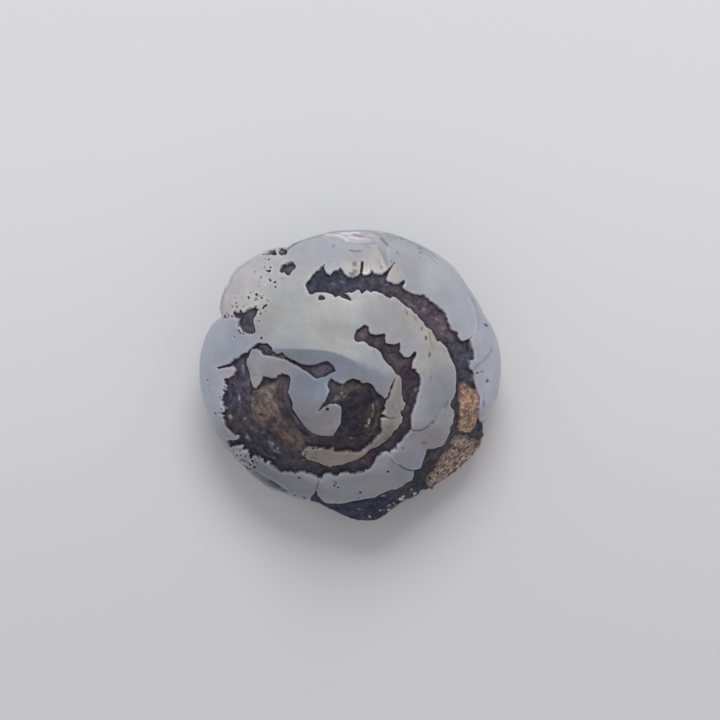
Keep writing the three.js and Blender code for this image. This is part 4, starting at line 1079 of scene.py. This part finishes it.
def body_distances(points):
    """Signed distances to the shell and to the matrix, both before the outline trims them."""
    reach = np.hypot(points[:, 0], points[:, 1])
    spread = plan_ratio(np.arctan2(points[:, 1], points[:, 0])) - 1
    ratio = 1 + spread * rise(reach, *RATIO_RISE)
    inner = np.column_stack([points[:, 0] / ratio, points[:, 1] / ratio, points[:, 2]])
    r, z, clock = coil_place(inner)
    *lobe, softness = UPPER_LOBE
    shell = soft_min(whorls(r, z, clock), ellipsoid(inner, *lobe), softness)
    return shell, matrix_lump(inner, r, z, clock)


def rim_heights():
    """The least height that the body reaches along the silhouette near each direction round the middle."""
    angles = np.arange(RIM_DIRECTIONS) * FULL_TURN / RIM_DIRECTIONS
    steps = np.arange(RIM_STEP, MAP_HALF_WIDTH, RIM_STEP)
    heights = []
    for direction in np.column_stack([np.cos(angles), np.sin(angles)]):
        line = steps[:, None] * direction
        edge = line[look_up(MAPS["silhouette"], line) < -RIM_INSET][-1]
        column = np.column_stack([np.tile(edge, (len(steps), 1)), steps])
        filled = soft_min(*body_distances(column), MATRIX_SOFTNESS) < 0
        heights.append(steps[filled].max() if filled.any() else 0.0)
    nearby = [np.roll(heights, shift) for shift in range(-RIM_NEIGHBOURS, RIM_NEIGHBOURS + 1)]
    return np.min(nearby, axis=0)


RIM_HEIGHTS = rim_heights()


def below_rim(points):
    """0 from the silhouette's rim upwards, rising to 1 well below it."""
    step = np.arctan2(points[:, 1], points[:, 0]) / FULL_TURN * RIM_DIRECTIONS
    rim = np.interp(step, np.arange(RIM_DIRECTIONS), RIM_HEIGHTS, period=RIM_DIRECTIONS)
    return rise(rim - points[:, 2], *RIM_FADE)


def body_distance(points):
    solid = soft_min(*body_distances(points), MATRIX_SOFTNESS)
    low = below_rim(points)
    plan = seen_plan(points)
    low_edge = look_up(MAPS["low silhouette"], plan) + OUTLINE_UNDERCUT
    edge = look_up(MAPS["silhouette"], plan) * (1 - low) + low_edge * low
    trimmed = soft_max(solid, edge - OUTLINE_ALLOWANCE, OUTLINE_SOFTNESS)
    return soft_max(trimmed, -points[:, 2], FLOOR_SOFTNESS)


def surface_reach(directions):
    """How far the surface lies from the body's centre along each direction."""
    def outside_at(chosen, reach):
        return body_distance(BODY_CENTRE + directions[chosen] * reach[:, None]) > 0

    outside = np.full(len(directions), REACH)
    searching = np.arange(len(directions))
    while len(searching):
        nearer = outside[searching] - MARCH_STEP
        out = outside_at(searching, nearer) & (nearer > MARCH_STEP)
        searching = searching[out]
        outside[searching] = nearer[out]
    inside = outside - MARCH_STEP
    everywhere = np.arange(len(directions))
    for _ in range(BISECTIONS):
        middle = (outside + inside) / 2
        out = outside_at(everywhere, middle)
        outside = np.where(out, middle, outside)
        inside = np.where(out, inside, middle)
    return outside


def first_ball():
    """An icosahedron's directions and faces."""
    golden = (1 + 5 ** 0.5) / 2
    points = [(-1, golden, 0), (1, golden, 0), (-1, -golden, 0), (1, -golden, 0)]
    points += [(0, -1, golden), (0, 1, golden), (0, -1, -golden), (0, 1, -golden)]
    points += [(golden, 0, -1), (golden, 0, 1), (-golden, 0, -1), (-golden, 0, 1)]
    faces = [(0, 11, 5), (0, 5, 1), (0, 1, 7), (0, 7, 10), (0, 10, 11), (1, 5, 9), (5, 11, 4)]
    faces += [(11, 10, 2), (10, 7, 6), (7, 1, 8), (3, 9, 4), (3, 4, 2), (3, 2, 6), (3, 6, 8)]
    faces += [(3, 8, 9), (4, 9, 5), (2, 4, 11), (6, 2, 10), (8, 6, 7), (9, 8, 1)]
    return unit(np.array(points, dtype=float)), np.array(faces)


def unit(vectors):
    return vectors / np.linalg.norm(vectors, axis=1)[:, None]


def face_edges(faces):
    """Every edge once, and for each face the numbers of its three edges."""
    pairs = np.sort(faces[:, [[0, 1], [1, 2], [2, 0]]].reshape(-1, 2), axis=1)
    edges, numbers = np.unique(pairs, axis=0, return_inverse=True)
    return edges, numbers.reshape(-1, 3)


def split_edges(faces, numbers, middle):
    """Cuts each face at its marked edges. middle holds each edge's new point, or -1."""
    marks = middle[numbers]
    marked = marks >= 0
    count = marked.sum(axis=1)
    turn = np.select([count == 1, count == 2], [marked.argmax(axis=1), marked.argmin(axis=1) + 1])
    order = (np.arange(3) + turn[:, None]) % 3
    corners = np.take_along_axis(faces, order, axis=1)
    middles = np.take_along_axis(marks, order, axis=1)
    places = np.hstack([corners, middles])
    kept = [places[count == cuts][:, face] for cuts, split in enumerate(SPLIT_FACES) for face in split]
    return np.concatenate(kept)


def wanted_edge(points):
    """The edge length that the surface needs at each point."""
    plan = seen_plan(points)
    bands = look_up(MAPS["bands"], plan)
    rims = [np.abs(bands)] + [np.abs(look_up(MAPS[name], plan)) for name in ("specks", "cracks")]
    fine = FINEST_EDGE + EDGE_GROWTH * np.maximum(np.min(rims, axis=0) - FINEST_REACH, 0)
    lines = look_up(MAPS["lines"], plan)
    fine = np.minimum(fine, LINE_EDGE + EDGE_GROWTH * np.maximum(lines - LINE_REACH, 0))
    fine = np.minimum(fine, np.where(bands < 0, MARKING_EDGE, UPPER_EDGE))
    hidden = rise(points[:, 2], *LOWER_HEIGHTS)
    return fine * (1 - hidden) + LOWER_EDGE * hidden


def base_mesh():
    """Directions, reaches and faces of the closed mesh over the body, finest along the markings."""
    directions, faces = first_ball()
    for _ in range(FIRST_SPLITS):
        edges, numbers = face_edges(faces)
        faces = split_edges(faces, numbers, len(directions) + np.arange(len(edges)))
        directions = np.vstack([directions, unit(directions[edges].sum(axis=1))])
    reach = surface_reach(directions)
    for _ in range(REFINING_PASSES):
        points = BODY_CENTRE + directions * reach[:, None]
        edges, numbers = face_edges(faces)
        ends = points[edges]
        length = np.linalg.norm(ends[:, 0] - ends[:, 1], axis=1)
        split = length > SPLIT_FACTOR * wanted_edge(ends.mean(axis=1))
        if not split.any():
            break
        middle = np.full(len(edges), -1)
        middle[split] = len(directions) + np.arange(split.sum())
        faces = split_edges(faces, numbers, middle)
        added = unit(directions[edges[split]].sum(axis=1))
        directions = np.vstack([directions, added])
        reach = np.concatenate([reach, surface_reach(added)])
    return directions, reach, faces


def vertex_normals(points, faces):
    a, b, c = points[faces].transpose(1, 0, 2)
    face_normals = np.cross(b - a, c - a)
    normals = np.zeros_like(points)
    for corner in range(3):
        for axis in range(3):
            normals[:, axis] += np.bincount(faces[:, corner], face_normals[:, axis], len(points))
    return unit(normals)


def lattice_value(cell, seed):
    """A repeatable value between 0 and 1 for each lattice cell."""
    first_shift, second_shift = MIXING_SHIFTS
    mixed = (cell * CELL_FACTORS).sum(axis=1) + seed * SEED_FACTOR
    mixed = (mixed ^ (mixed >> first_shift)) * SEED_FACTOR
    mixed = mixed ^ (mixed >> second_shift)
    return (mixed & HASH_MASK) / HASH_MASK


def noise(points, size, seed):
    """Smooth noise from -1 to 1 with features of one size, in millimetres."""
    place = points / size
    cell = np.floor(place).astype(np.int64)
    t = rise(place - cell, 0, 1)
    total = np.zeros(len(points))
    for corner in range(8):
        step = np.array([corner & 1, corner >> 1 & 1, corner >> 2 & 1])
        weight = np.prod(np.where(step, t, 1 - t), axis=1)
        total += weight * lattice_value(cell + step, seed)
    return 2 * total - 1


def rough_noise(points, size, octaves, seed):
    """Noise of several sizes, each half as large and half as strong as the last."""
    total = np.zeros(len(points))
    for octave in range(octaves):
        total += noise(points, size / 2 ** octave, seed + octave) / 2 ** octave
    return total / (2 - 2 / 2 ** octaves)


def whorl_noise(plan):
    """Noise from -1 to 1 drawn out along the whorls."""
    offset = plan - APEX[:2]
    reach = np.linalg.norm(offset, axis=1)[:, None]
    around = STRAND_RADIUS * offset / np.maximum(reach, STRAND_CENTRE)
    return rough_noise(np.hstack([around, reach]), *STRAND_NOISE)


def linear(colour):
    """Screen colour of 0 to 255 to linear light."""
    value = np.array(colour, dtype=float) / 255
    return np.where(value <= 0.04045, value / 12.92, ((value + 0.055) / 1.055) ** 2.4)


def patch_weight(pixels, x, y, half_x, half_y, turn):
    """1 in the middle of a soft oval patch, falling to 0 past its edge."""
    angle = np.radians(turn)
    dx, dy = pixels[:, 0] - x, pixels[:, 1] - y
    u = (dx * np.cos(angle) + dy * np.sin(angle)) / half_x
    v = (dy * np.cos(angle) - dx * np.sin(angle)) / half_y
    return rise(np.hypot(u, v), *PATCH_FADE)


def mix(first, second, weight):
    """The first colours at weight 0 and the second at weight 1."""
    return first * (1 - weight[:, None]) + second * weight[:, None]


def patched(colour, pixels, patches):
    """The colours with each soft patch laid over them in turn."""
    for *shape, tone, strength in patches:
        colour = mix(colour, linear(tone), strength * patch_weight(pixels, *shape))
    return colour


def painted(pixels, base, patches):
    return patched(np.tile(linear(base), (len(pixels), 1)), pixels, patches)


def spot_centres(points, normals, plan, spots):
    """The surface point that the camera sees at each spot's picture place."""
    facing = np.flatnonzero(normals[:, 2] > SPOT_FACING)
    places = to_plan([(x, y) for x, y, *_ in spots])
    return [points[facing[np.argmin(np.hypot(*(plan[facing] - place).T))]] for place in places]


def speck_distance(points, normals, plan):
    specks = np.full(len(points), REACH)
    for centre, (_, _, radius) in zip(spot_centres(points, normals, plan, SPECKS), SPECKS):
        np.minimum(specks, np.linalg.norm(points - centre, axis=1) - radius / PIXELS_PER_MM, out=specks)
    return specks


def markings(points, normals, plan, pixels):
    """Signed distances in millimetres, negative inside, to the matrix and the cracks, on every side."""
    upper = rise(normals[:, 2], *UPPER_FACING) * rise(below_rim(points), *RIM_HOLD)
    flat = rise(normals[:, 2], *FLAT_FACING)
    shell, lump = body_distances(points)
    hidden = np.clip(lump - shell, -HIDDEN_REACH, HIDDEN_REACH)
    hidden += HIDDEN_FUZZ * rough_noise(points, *HIDDEN_EDGE_NOISE)
    mouth_side = np.maximum(points[:, :2] @ MOUTH_DIRECTION, MOUTH_SIDE_LEAST)
    hidden_sand = HIDDEN_SAND_START - HIDDEN_SAND_SLOPE * mouth_side
    hidden_sand += HIDDEN_SAND_FUZZ * rough_noise(points, *HIDDEN_SAND_NOISE)
    bands, orange, grey = (look_up(MAPS[name], plan) for name in ("bands", "orange", "grey"))
    seen = np.min([bands, orange, grey, speck_distance(points, normals, plan)], axis=0)
    zones = [patch_weight(pixels, *zone[:5]) for zone in FRECKLE_ZONES]
    fuzz = MARKING_FUZZ + EDGE_FUZZ * np.max(zones, axis=0)
    seen += fuzz * rough_noise(points, *MARKING_NOISE)
    return {
        "upper": upper,
        "flat": flat,
        "matrix": hidden * (1 - upper) + seen * upper,
        "bands": hidden * (1 - upper) + bands * upper,
        "hidden sand": np.maximum(hidden, hidden_sand),
        "cracks": look_up(MAPS["cracks"], plan) + OUT_OF_REACH * (1 - flat),
        "streaks": look_up(MAPS["streaks"], plan) * flat,
    }


def matrix_markings(points, plan, marks):
    """The sand, brown patch and faint lines in the matrix, at the plan places where they are seen."""
    upper = marks["upper"]
    beyond = OUT_OF_REACH * (1 - upper)
    grey = look_up(MAPS["grey"], plan) + GREY_FUZZ * rough_noise(points, *GREY_EDGE_NOISE)
    brown = look_up(MAPS["brown"], plan) + BROWN_FUZZ * rough_noise(points, *BROWN_EDGE_NOISE)
    return {
        "orange": look_up(MAPS["orange"], plan) + beyond,
        "grey": grey * upper + marks["hidden sand"] * (1 - upper),
        "brown": brown + beyond,
        "matrix streaks": look_up(MAPS["matrix streaks"], plan) * marks["flat"],
    }


def relief(points, normals, marks):
    """How far each point moves along its normal, in millimetres, and nowhere where the shell rests."""
    matrix = within(marks["matrix"], BAND_WALL)
    sandy = within(np.minimum(marks["orange"], marks["grey"]), SAND_WALL)
    depth = STEEP_DEPTH + (1 - STEEP_DEPTH) * rise(normals[:, 2], *DEPTH_FACING)
    height = -BAND_DEPTH * depth * matrix * rise(marks["bands"], *BAND_SLOPE)
    height += MATRIX_ROUGHNESS * matrix * rough_noise(points, *MATRIX_RELIEF_NOISE)
    height += STONE_ROUGHNESS * (1 - matrix) * rough_noise(points, *STONE_RELIEF_NOISE)
    height += SAND_HEIGHT * sandy * marks["upper"]
    height += SAND_ROUGHNESS * sandy * rough_noise(points, *SAND_RELIEF_NOISE)
    height -= CRACK_DEPTH * within(marks["cracks"], CRACK_WALL)
    return height * rise(points[:, 2], 0, FOOT_HEIGHT)


def stone_colours(pixels, plan, marks):
    """Linear colour of the stone: patches with painted sheen and shade, the bluish inner whorls with painted
    shade, streaks and painted highlights.
    """
    outer = painted(pixels, STONE_BASE, STONE_PATCHES_AND_PAINTED_LIGHT)
    inner = painted(pixels, INNER_BLUE_AND_SHADE_BASE, INNER_BLUE_AND_SHADE_PATCHES)
    edge = INNER_EDGE + INNER_EDGE_GROWTH * rise(pixels[:, 0], *INNER_EDGE_SOFTENS)
    # Painted shade: the inner whorls' darker blue, crisp below the painted sheen at the upper left
    colour = mix(outer, inner, within(look_up(MAPS["inner"], plan), edge))
    # Painted highlights along the top edge, among the streaks and stains
    colour = patched(colour, pixels, RING_PATCHES + STONE_STAINS_AND_HIGHLIGHTS) * (1 + marks["streaks"])[:, None]
    return mix(linear(FLANK_COLOUR), colour, marks["upper"])


def sand_and_soil(pixels, marks):
    """Linear colour of the matrix and its sand, with painted shade at the recess rims, before strands and
    specks.
    """
    colour = mix(linear(DARK_MATRIX), painted(pixels, DARK_MATRIX, SOIL_PATCHES), marks["upper"])
    # Painted shade in the recesses, darkest at their rims
    painted_shade = RIM_PAINTED_SHADE + (MIDDLE_PAINTED_SHADE - RIM_PAINTED_SHADE) * rise(marks["bands"], *PAINTED_SHADE_SLOPE)
    colour = colour * painted_shade[:, None]
    colour = mix(colour, linear(GREY_SAND_COLOUR), within(marks["grey"], GREY_SAND_EDGE))
    colour = mix(colour, linear(ORANGE_SAND_COLOUR), within(marks["orange"], ORANGE_SAND_EDGE))
    return mix(colour, painted(pixels, BROWN_BASE, BROWN_PATCHES), within(marks["brown"], BROWN_EDGE))


def soil_colours(points, normals, plan, marks):
    """Linear colour of the matrix, with its strands, faint lines and light specks."""
    colour = sand_and_soil(to_pixels(plan), marks)
    contrast = STRAND_CONTRAST + BROWN_STRAND_CONTRAST * within(marks["brown"], BROWN_EDGE)
    strands = (1 + contrast * whorl_noise(plan)) * (1 + marks["matrix streaks"])
    colour = colour * strands[:, None]
    shake = np.column_stack([noise(points, SHAKE_SIZE, seed) for seed in SHAKE_SEEDS])
    shaken = points + SHAKE_REACH * shake
    for centre, (_, _, half_x, half_y, tone) in zip(spot_centres(points, normals, plan, SPARKS), SPARKS):
        half = np.array([half_x, half_y, max(half_x, half_y)]) / PIXELS_PER_MM
        spread = np.linalg.norm((shaken - centre) / half, axis=1)
        colour = mix(colour, linear(tone), rise(spread, *SPARK_FADE))
    return colour


def freckle_strength(points, pixels, upper):
    field = noise(points, FRECKLE_SIZE, FRECKLE_SEED)
    strengths = [HIDDEN_FRECKLES * rise(field, *HIDDEN_FRECKLE_RISE) * (1 - upper)]
    for *zone, strength in FRECKLE_ZONES:
        strengths.append(strength * patch_weight(pixels, *zone) * upper)
    return np.max(strengths, axis=0)


def store(mesh, name, kind, values):
    attribute = mesh.attributes.new(name, kind, "POINT")
    field = "color" if kind == "FLOAT_COLOR" else "value"
    attribute.data.foreach_set(field, values.astype(np.float32).ravel())


def make_shell():
    """The shell's fine mesh with its relief and its marking attributes."""
    directions, reach, faces = base_mesh()
    points = BODY_CENTRE + directions * reach[:, None]
    normals = vertex_normals(points, faces)
    plan = seen_plan(points)
    pixels = to_pixels(plan)
    marks = markings(points, normals, plan, pixels)
    marks.update(matrix_markings(points, plan, marks))
    sunk_plan = seen_plan(points + normals * relief(points, normals, marks)[:, None])
    marks.update(matrix_markings(points, sunk_plan, marks))
    colours = {
        "stone": stone_colours(pixels, plan, marks),
        "soil": soil_colours(points, normals, sunk_plan, marks),
    }
    orange, grey = (within(marks[name], SAND_WALL) for name in ("orange", "grey"))
    values = {
        "matrix": marks["matrix"],
        "sandy": np.maximum(orange, grey),
        "orange": orange,
        "crack": within(marks["cracks"], CRACK_STAIN),
        "freckle": freckle_strength(points, pixels, marks["upper"]),
    }
    points = points + normals * relief(points, normals, marks)[:, None]
    points[:, 2] = np.maximum(points[:, 2], 0)

    mesh = bpy.data.meshes.new("snail_shell_surface")
    mesh.from_pydata((points * MILLIMETRE).tolist(), [], faces.tolist())
    mesh.polygons.foreach_set("use_smooth", np.ones(len(faces), dtype=bool))
    for name, colour in colours.items():
        store(mesh, name, "FLOAT_COLOR", np.column_stack([colour, np.ones(len(colour))]))
    for name, value in values.items():
        store(mesh, name, "FLOAT", value)
    mesh.update()
    print("shell triangles:", len(faces))
    return add_object("snail_shell_surface", mesh)


def add_object(name, data):
    obj = bpy.data.objects.new(name, data)
    bpy.context.scene.collection.objects.link(obj)
    return obj


class Nodes:
    """A short way to write a node tree."""

    def __init__(self, name):
        self.material = bpy.data.materials.new(name)
        self.material.use_nodes = True
        self.tree = self.material.node_tree
        self.tree.nodes.clear()

    def add(self, kind, **settings):
        node = self.tree.nodes.new(kind)
        for key, value in settings.items():
            setattr(node, key, value)
        return node

    def link(self, source, target):
        self.tree.links.new(source, target)

    def feed(self, node, name, value):
        socket = node.inputs[name]
        if isinstance(value, bpy.types.NodeSocket):
            self.link(value, socket)
        else:
            socket.default_value = value

    def attribute(self, name, output="Fac"):
        return self.add("ShaderNodeAttribute", attribute_name=name).outputs[output]

    def place(self):
        return self.add("ShaderNodeTexCoord").outputs["Object"]

    def noise(self, size_mm, detail=3.0, roughness=0.5, stretch=EVEN):
        node = self.add("ShaderNodeTexNoise")
        stretched = self.add("ShaderNodeMapping")
        self.link(self.place(), stretched.inputs["Vector"])
        self.feed(stretched, "Scale", stretch)
        self.link(stretched.outputs["Vector"], node.inputs["Vector"])
        self.feed(node, "Scale", 1 / (size_mm * MILLIMETRE))
        self.feed(node, "Detail", detail)
        self.feed(node, "Roughness", roughness)
        return node.outputs["Fac"]

    def cells(self, size_mm, output="Distance"):
        node = self.add("ShaderNodeTexVoronoi")
        self.link(self.place(), node.inputs["Vector"])
        self.feed(node, "Scale", 1 / (size_mm * MILLIMETRE))
        return node.outputs[output]

    def math(self, operation, *values):
        node = self.add("ShaderNodeMath", operation=operation)
        for index, value in enumerate(values):
            self.feed(node, index, value)
        return node.outputs["Value"]

    def centred(self, value, width):
        """The value of 0 to 1, spread over the given width round zero."""
        return self.math("MULTIPLY_ADD", value, width, -width / 2)

    def span(self, value, low, high, to_low=0.0, to_high=1.0):
        node = self.add("ShaderNodeMapRange", interpolation_type="SMOOTHSTEP")
        for name, given in (
            ("Value", value),
            ("From Min", low),
            ("From Max", high),
            ("To Min", to_low),
            ("To Max", to_high),
        ):
            self.feed(node, name, given)
        return node.outputs["Result"]

    def layer(self, size_mm, detail, roughness, stretch, low, high, to_low, to_high):
        """One of the shading layers, which are given in this order above."""
        return self.span(self.noise(size_mm, detail, roughness, stretch), low, high, to_low, to_high)

    def layers(self, settings):
        """All the layers multiplied together."""
        product, *others = [self.layer(*setting) for setting in settings]
        for other in others:
            product = self.math("MULTIPLY", product, other)
        return product

    def blend(self, factor, first, second, kind="MIX"):
        node = self.add("ShaderNodeMix", data_type="RGBA", blend_type=kind)
        self.feed(node, "Factor", factor)
        for socket, value in zip(MIX_INPUTS, (first, second)):
            self.feed(node, socket, value)
        return node.outputs[MIX_RESULT]

    def times(self, colour, factor):
        return self.blend(1.0, colour, factor, "MULTIPLY")

    def bump(self, height, distance_mm, strength, below=None):
        node = self.add("ShaderNodeBump")
        self.feed(node, "Height", height)
        self.feed(node, "Distance", distance_mm * MILLIMETRE)
        self.feed(node, "Strength", strength)
        if below is not None:
            self.link(below, node.inputs["Normal"])
        return node.outputs["Normal"]

    def surface(self, settings):
        node = self.add("ShaderNodeBsdfPrincipled")
        for name, value in settings.items():
            self.feed(node, name, value)
        return node.outputs["BSDF"]

    def finish(self, shader):
        output = self.add("ShaderNodeOutputMaterial")
        self.link(shader, output.inputs["Surface"])
        return self.material


def in_matrix(n, edge):
    """1 in the matrix and in the freckles, 0 on the stone."""
    in_band = n.span(edge, -EDGE_BLUR, EDGE_BLUR, 1.0, 0.0)
    size = n.span(n.cells(FRECKLE_CELL, "Color"), *FRECKLE_CHOICE, 0.0, FRECKLE_LARGEST)
    limit = n.math("MULTIPLY", n.attribute("freckle"), size)
    fray = n.centred(n.noise(*FRECKLE_FRAY), FRECKLE_FRAY_WIDTH)
    past_limit = n.math("SUBTRACT", n.math("ADD", n.cells(FRECKLE_CELL), fray), limit)
    return n.math("MAXIMUM", in_band, n.span(past_limit, -FRECKLE_BLUR, 0.0, 1.0, 0.0))


def waxy_stone(n, edge):
    """Waxy stone with clouds and fine grain, a painted light rim along the matrix, and dark in its cracks."""
    stone = n.times(n.attribute("stone", "Color"), n.layers(STONE_TONES))
    stone = n.times(stone, n.blend(n.layer(*STONE_HUE), *STONE_TINTS))
    # Painted light rim on the stone along the matrix
    rim = n.span(edge, *RIM_HIGHLIGHT_STRIP, 1.0, 0.0)
    stone = n.blend(rim, stone, n.times(stone, RIM_PAINTED_HIGHLIGHT))
    stone = n.blend(n.math("MULTIPLY", n.attribute("crack"), CRACK_STRENGTH), stone, CRACK_COLOUR)
    swell = n.bump(n.noise(*STONE_SWELL), *STONE_SWELL_BUMP)
    striae = n.bump(n.noise(*STONE_STRIAE), *STONE_STRIAE_BUMP, swell)
    return n.surface({
        "Base Color": stone,
        "Roughness": n.layer(*STONE_GLOSS),
        "Normal": striae,
        **STONE_FINISH,
    })


def gritty_soil(n):
    """Dull matrix, mottled where it is soil and grainy with light strands where it is sand."""
    sandy = n.attribute("sandy")
    orange = n.attribute("orange")
    grit = n.span(n.cells(GRIT_CELL), *GRIT_RANGE, SAND_LIGHT, n.span(orange, 0.0, 1.0, *GRIT_DARK))
    darkest = n.span(orange, 0.0, 1.0, *SAND_STRAND_DARK)
    strands = n.span(n.noise(*SAND_STRANDS), *SAND_STRAND_RANGE, darkest, SAND_LIGHT)
    tone = n.span(sandy, 0.0, 1.0, n.layers(SOIL_TONES), n.math("MULTIPLY", grit, strands))
    soil = n.times(n.attribute("soil", "Color"), tone)
    soil = n.times(soil, n.blend(n.layer(*SOIL_HUE), *SOIL_TINTS))
    pale_from = n.span(sandy, 0.0, 1.0, *PALE_FROM)
    pale_full = n.math("ADD", pale_from, PALE_BLUR)
    pale = n.span(n.noise(*PALE_GRAIN), pale_from, pale_full, 0.0, PALE_STRENGTH)
    pale = n.math("MULTIPLY", pale, n.span(sandy, 0.0, 1.0, 1.0, PALE_IN_SAND))
    soil = n.blend(pale, soil, n.blend(sandy, *PALE_COLOURS))
    lumps = n.bump(n.noise(*SOIL_LUMPS), *SOIL_LUMP_BUMP)
    grains = n.bump(n.cells(SOIL_GRAIN_CELL), *SOIL_GRAIN_BUMP, lumps)
    return n.surface({
        "Base Color": soil,
        "Roughness": n.layer(*SOIL_GLOSS),
        "Normal": grains,
        **SOIL_FINISH,
    })


def shell_material():
    """Stone and matrix, parted by the signed distance that the mesh carries."""
    n = Nodes("chalcedony_and_matrix")
    edge = n.math("ADD", n.attribute("matrix"), n.centred(n.noise(*EDGE_RAG), EDGE_RAG_WIDTH))
    mixed = n.add("ShaderNodeMixShader")
    n.feed(mixed, "Fac", in_matrix(n, edge))
    n.link(waxy_stone(n, edge), mixed.inputs[1])
    n.link(gritty_soil(n), mixed.inputs[2])
    return n.finish(mixed.outputs["Shader"])


def floor_material():
    """Pale card with painted shade, a little darker towards the picture's lower edge, away from the window.
    """
    n = Nodes("pale_card_painted_shade")
    place = n.add("ShaderNodeSeparateXYZ")
    n.link(n.place(), place.inputs["Vector"])
    level = n.span(place.outputs["Y"], *FLOOR_PAINTED_SHADE_SPAN)
    card = n.blend(level, FLOOR_SHADED_COLOUR, FLOOR_LIT_COLOUR)
    return n.finish(n.surface({"Base Color": card, **CARD_FINISH}))


def make_floor():
    mesh = bpy.data.meshes.new("floor")
    half = FLOOR_WIDTH / 2
    corners = [(-half, -half, 0), (half, -half, 0), (half, half, 0), (-half, half, 0)]
    mesh.from_pydata(corners, [], [(0, 1, 2, 3)])
    mesh.materials.append(floor_material())
    add_object("floor", mesh)


def make_window():
    """A large soft light beyond the picture's upper edge."""
    data = bpy.data.lights.new("window", "AREA")
    data.shape = "DISK"
    data.size = WINDOW_SIZE
    data.energy = WINDOW_POWER
    light = add_object("window", data)
    light.location = WINDOW_PLACE
    light.rotation_euler = (Vector(WINDOW_TARGET) - Vector(WINDOW_PLACE)).to_track_quat("-Z", "Y").to_euler()


def make_world():
    world = bpy.data.worlds.new("studio")
    bpy.context.scene.world = world
    world.use_nodes = True
    background = world.node_tree.nodes["Background"]
    background.inputs["Color"].default_value = WORLD_COLOUR
    background.inputs["Strength"].default_value = WORLD_STRENGTH


def make_camera():
    """Straight above the picture's centre, with the picture's scale true at SHARP_HEIGHT."""
    data = bpy.data.cameras.new("camera")
    frame_width = PICTURE_PIXELS / PIXELS_PER_MM
    data.sensor_width = SENSOR_WIDTH
    data.lens = SENSOR_WIDTH * (CAMERA_HEIGHT - SHARP_HEIGHT) / frame_width
    data.clip_start = NEAREST_SEEN
    data.clip_end = FARTHEST_SEEN
    camera = add_object("camera", data)
    x, y = camera_plan() * MILLIMETRE
    camera.location = (x, y, CAMERA_HEIGHT * MILLIMETRE)
    bpy.context.scene.camera = camera


make_camera()
make_world()
make_floor()
bpy.context.scene.view_settings.view_transform = "Standard"
make_window()

shell = make_shell()
shell.data.materials.append(shell_material())
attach(shell, "root")
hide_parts("snail_shell")
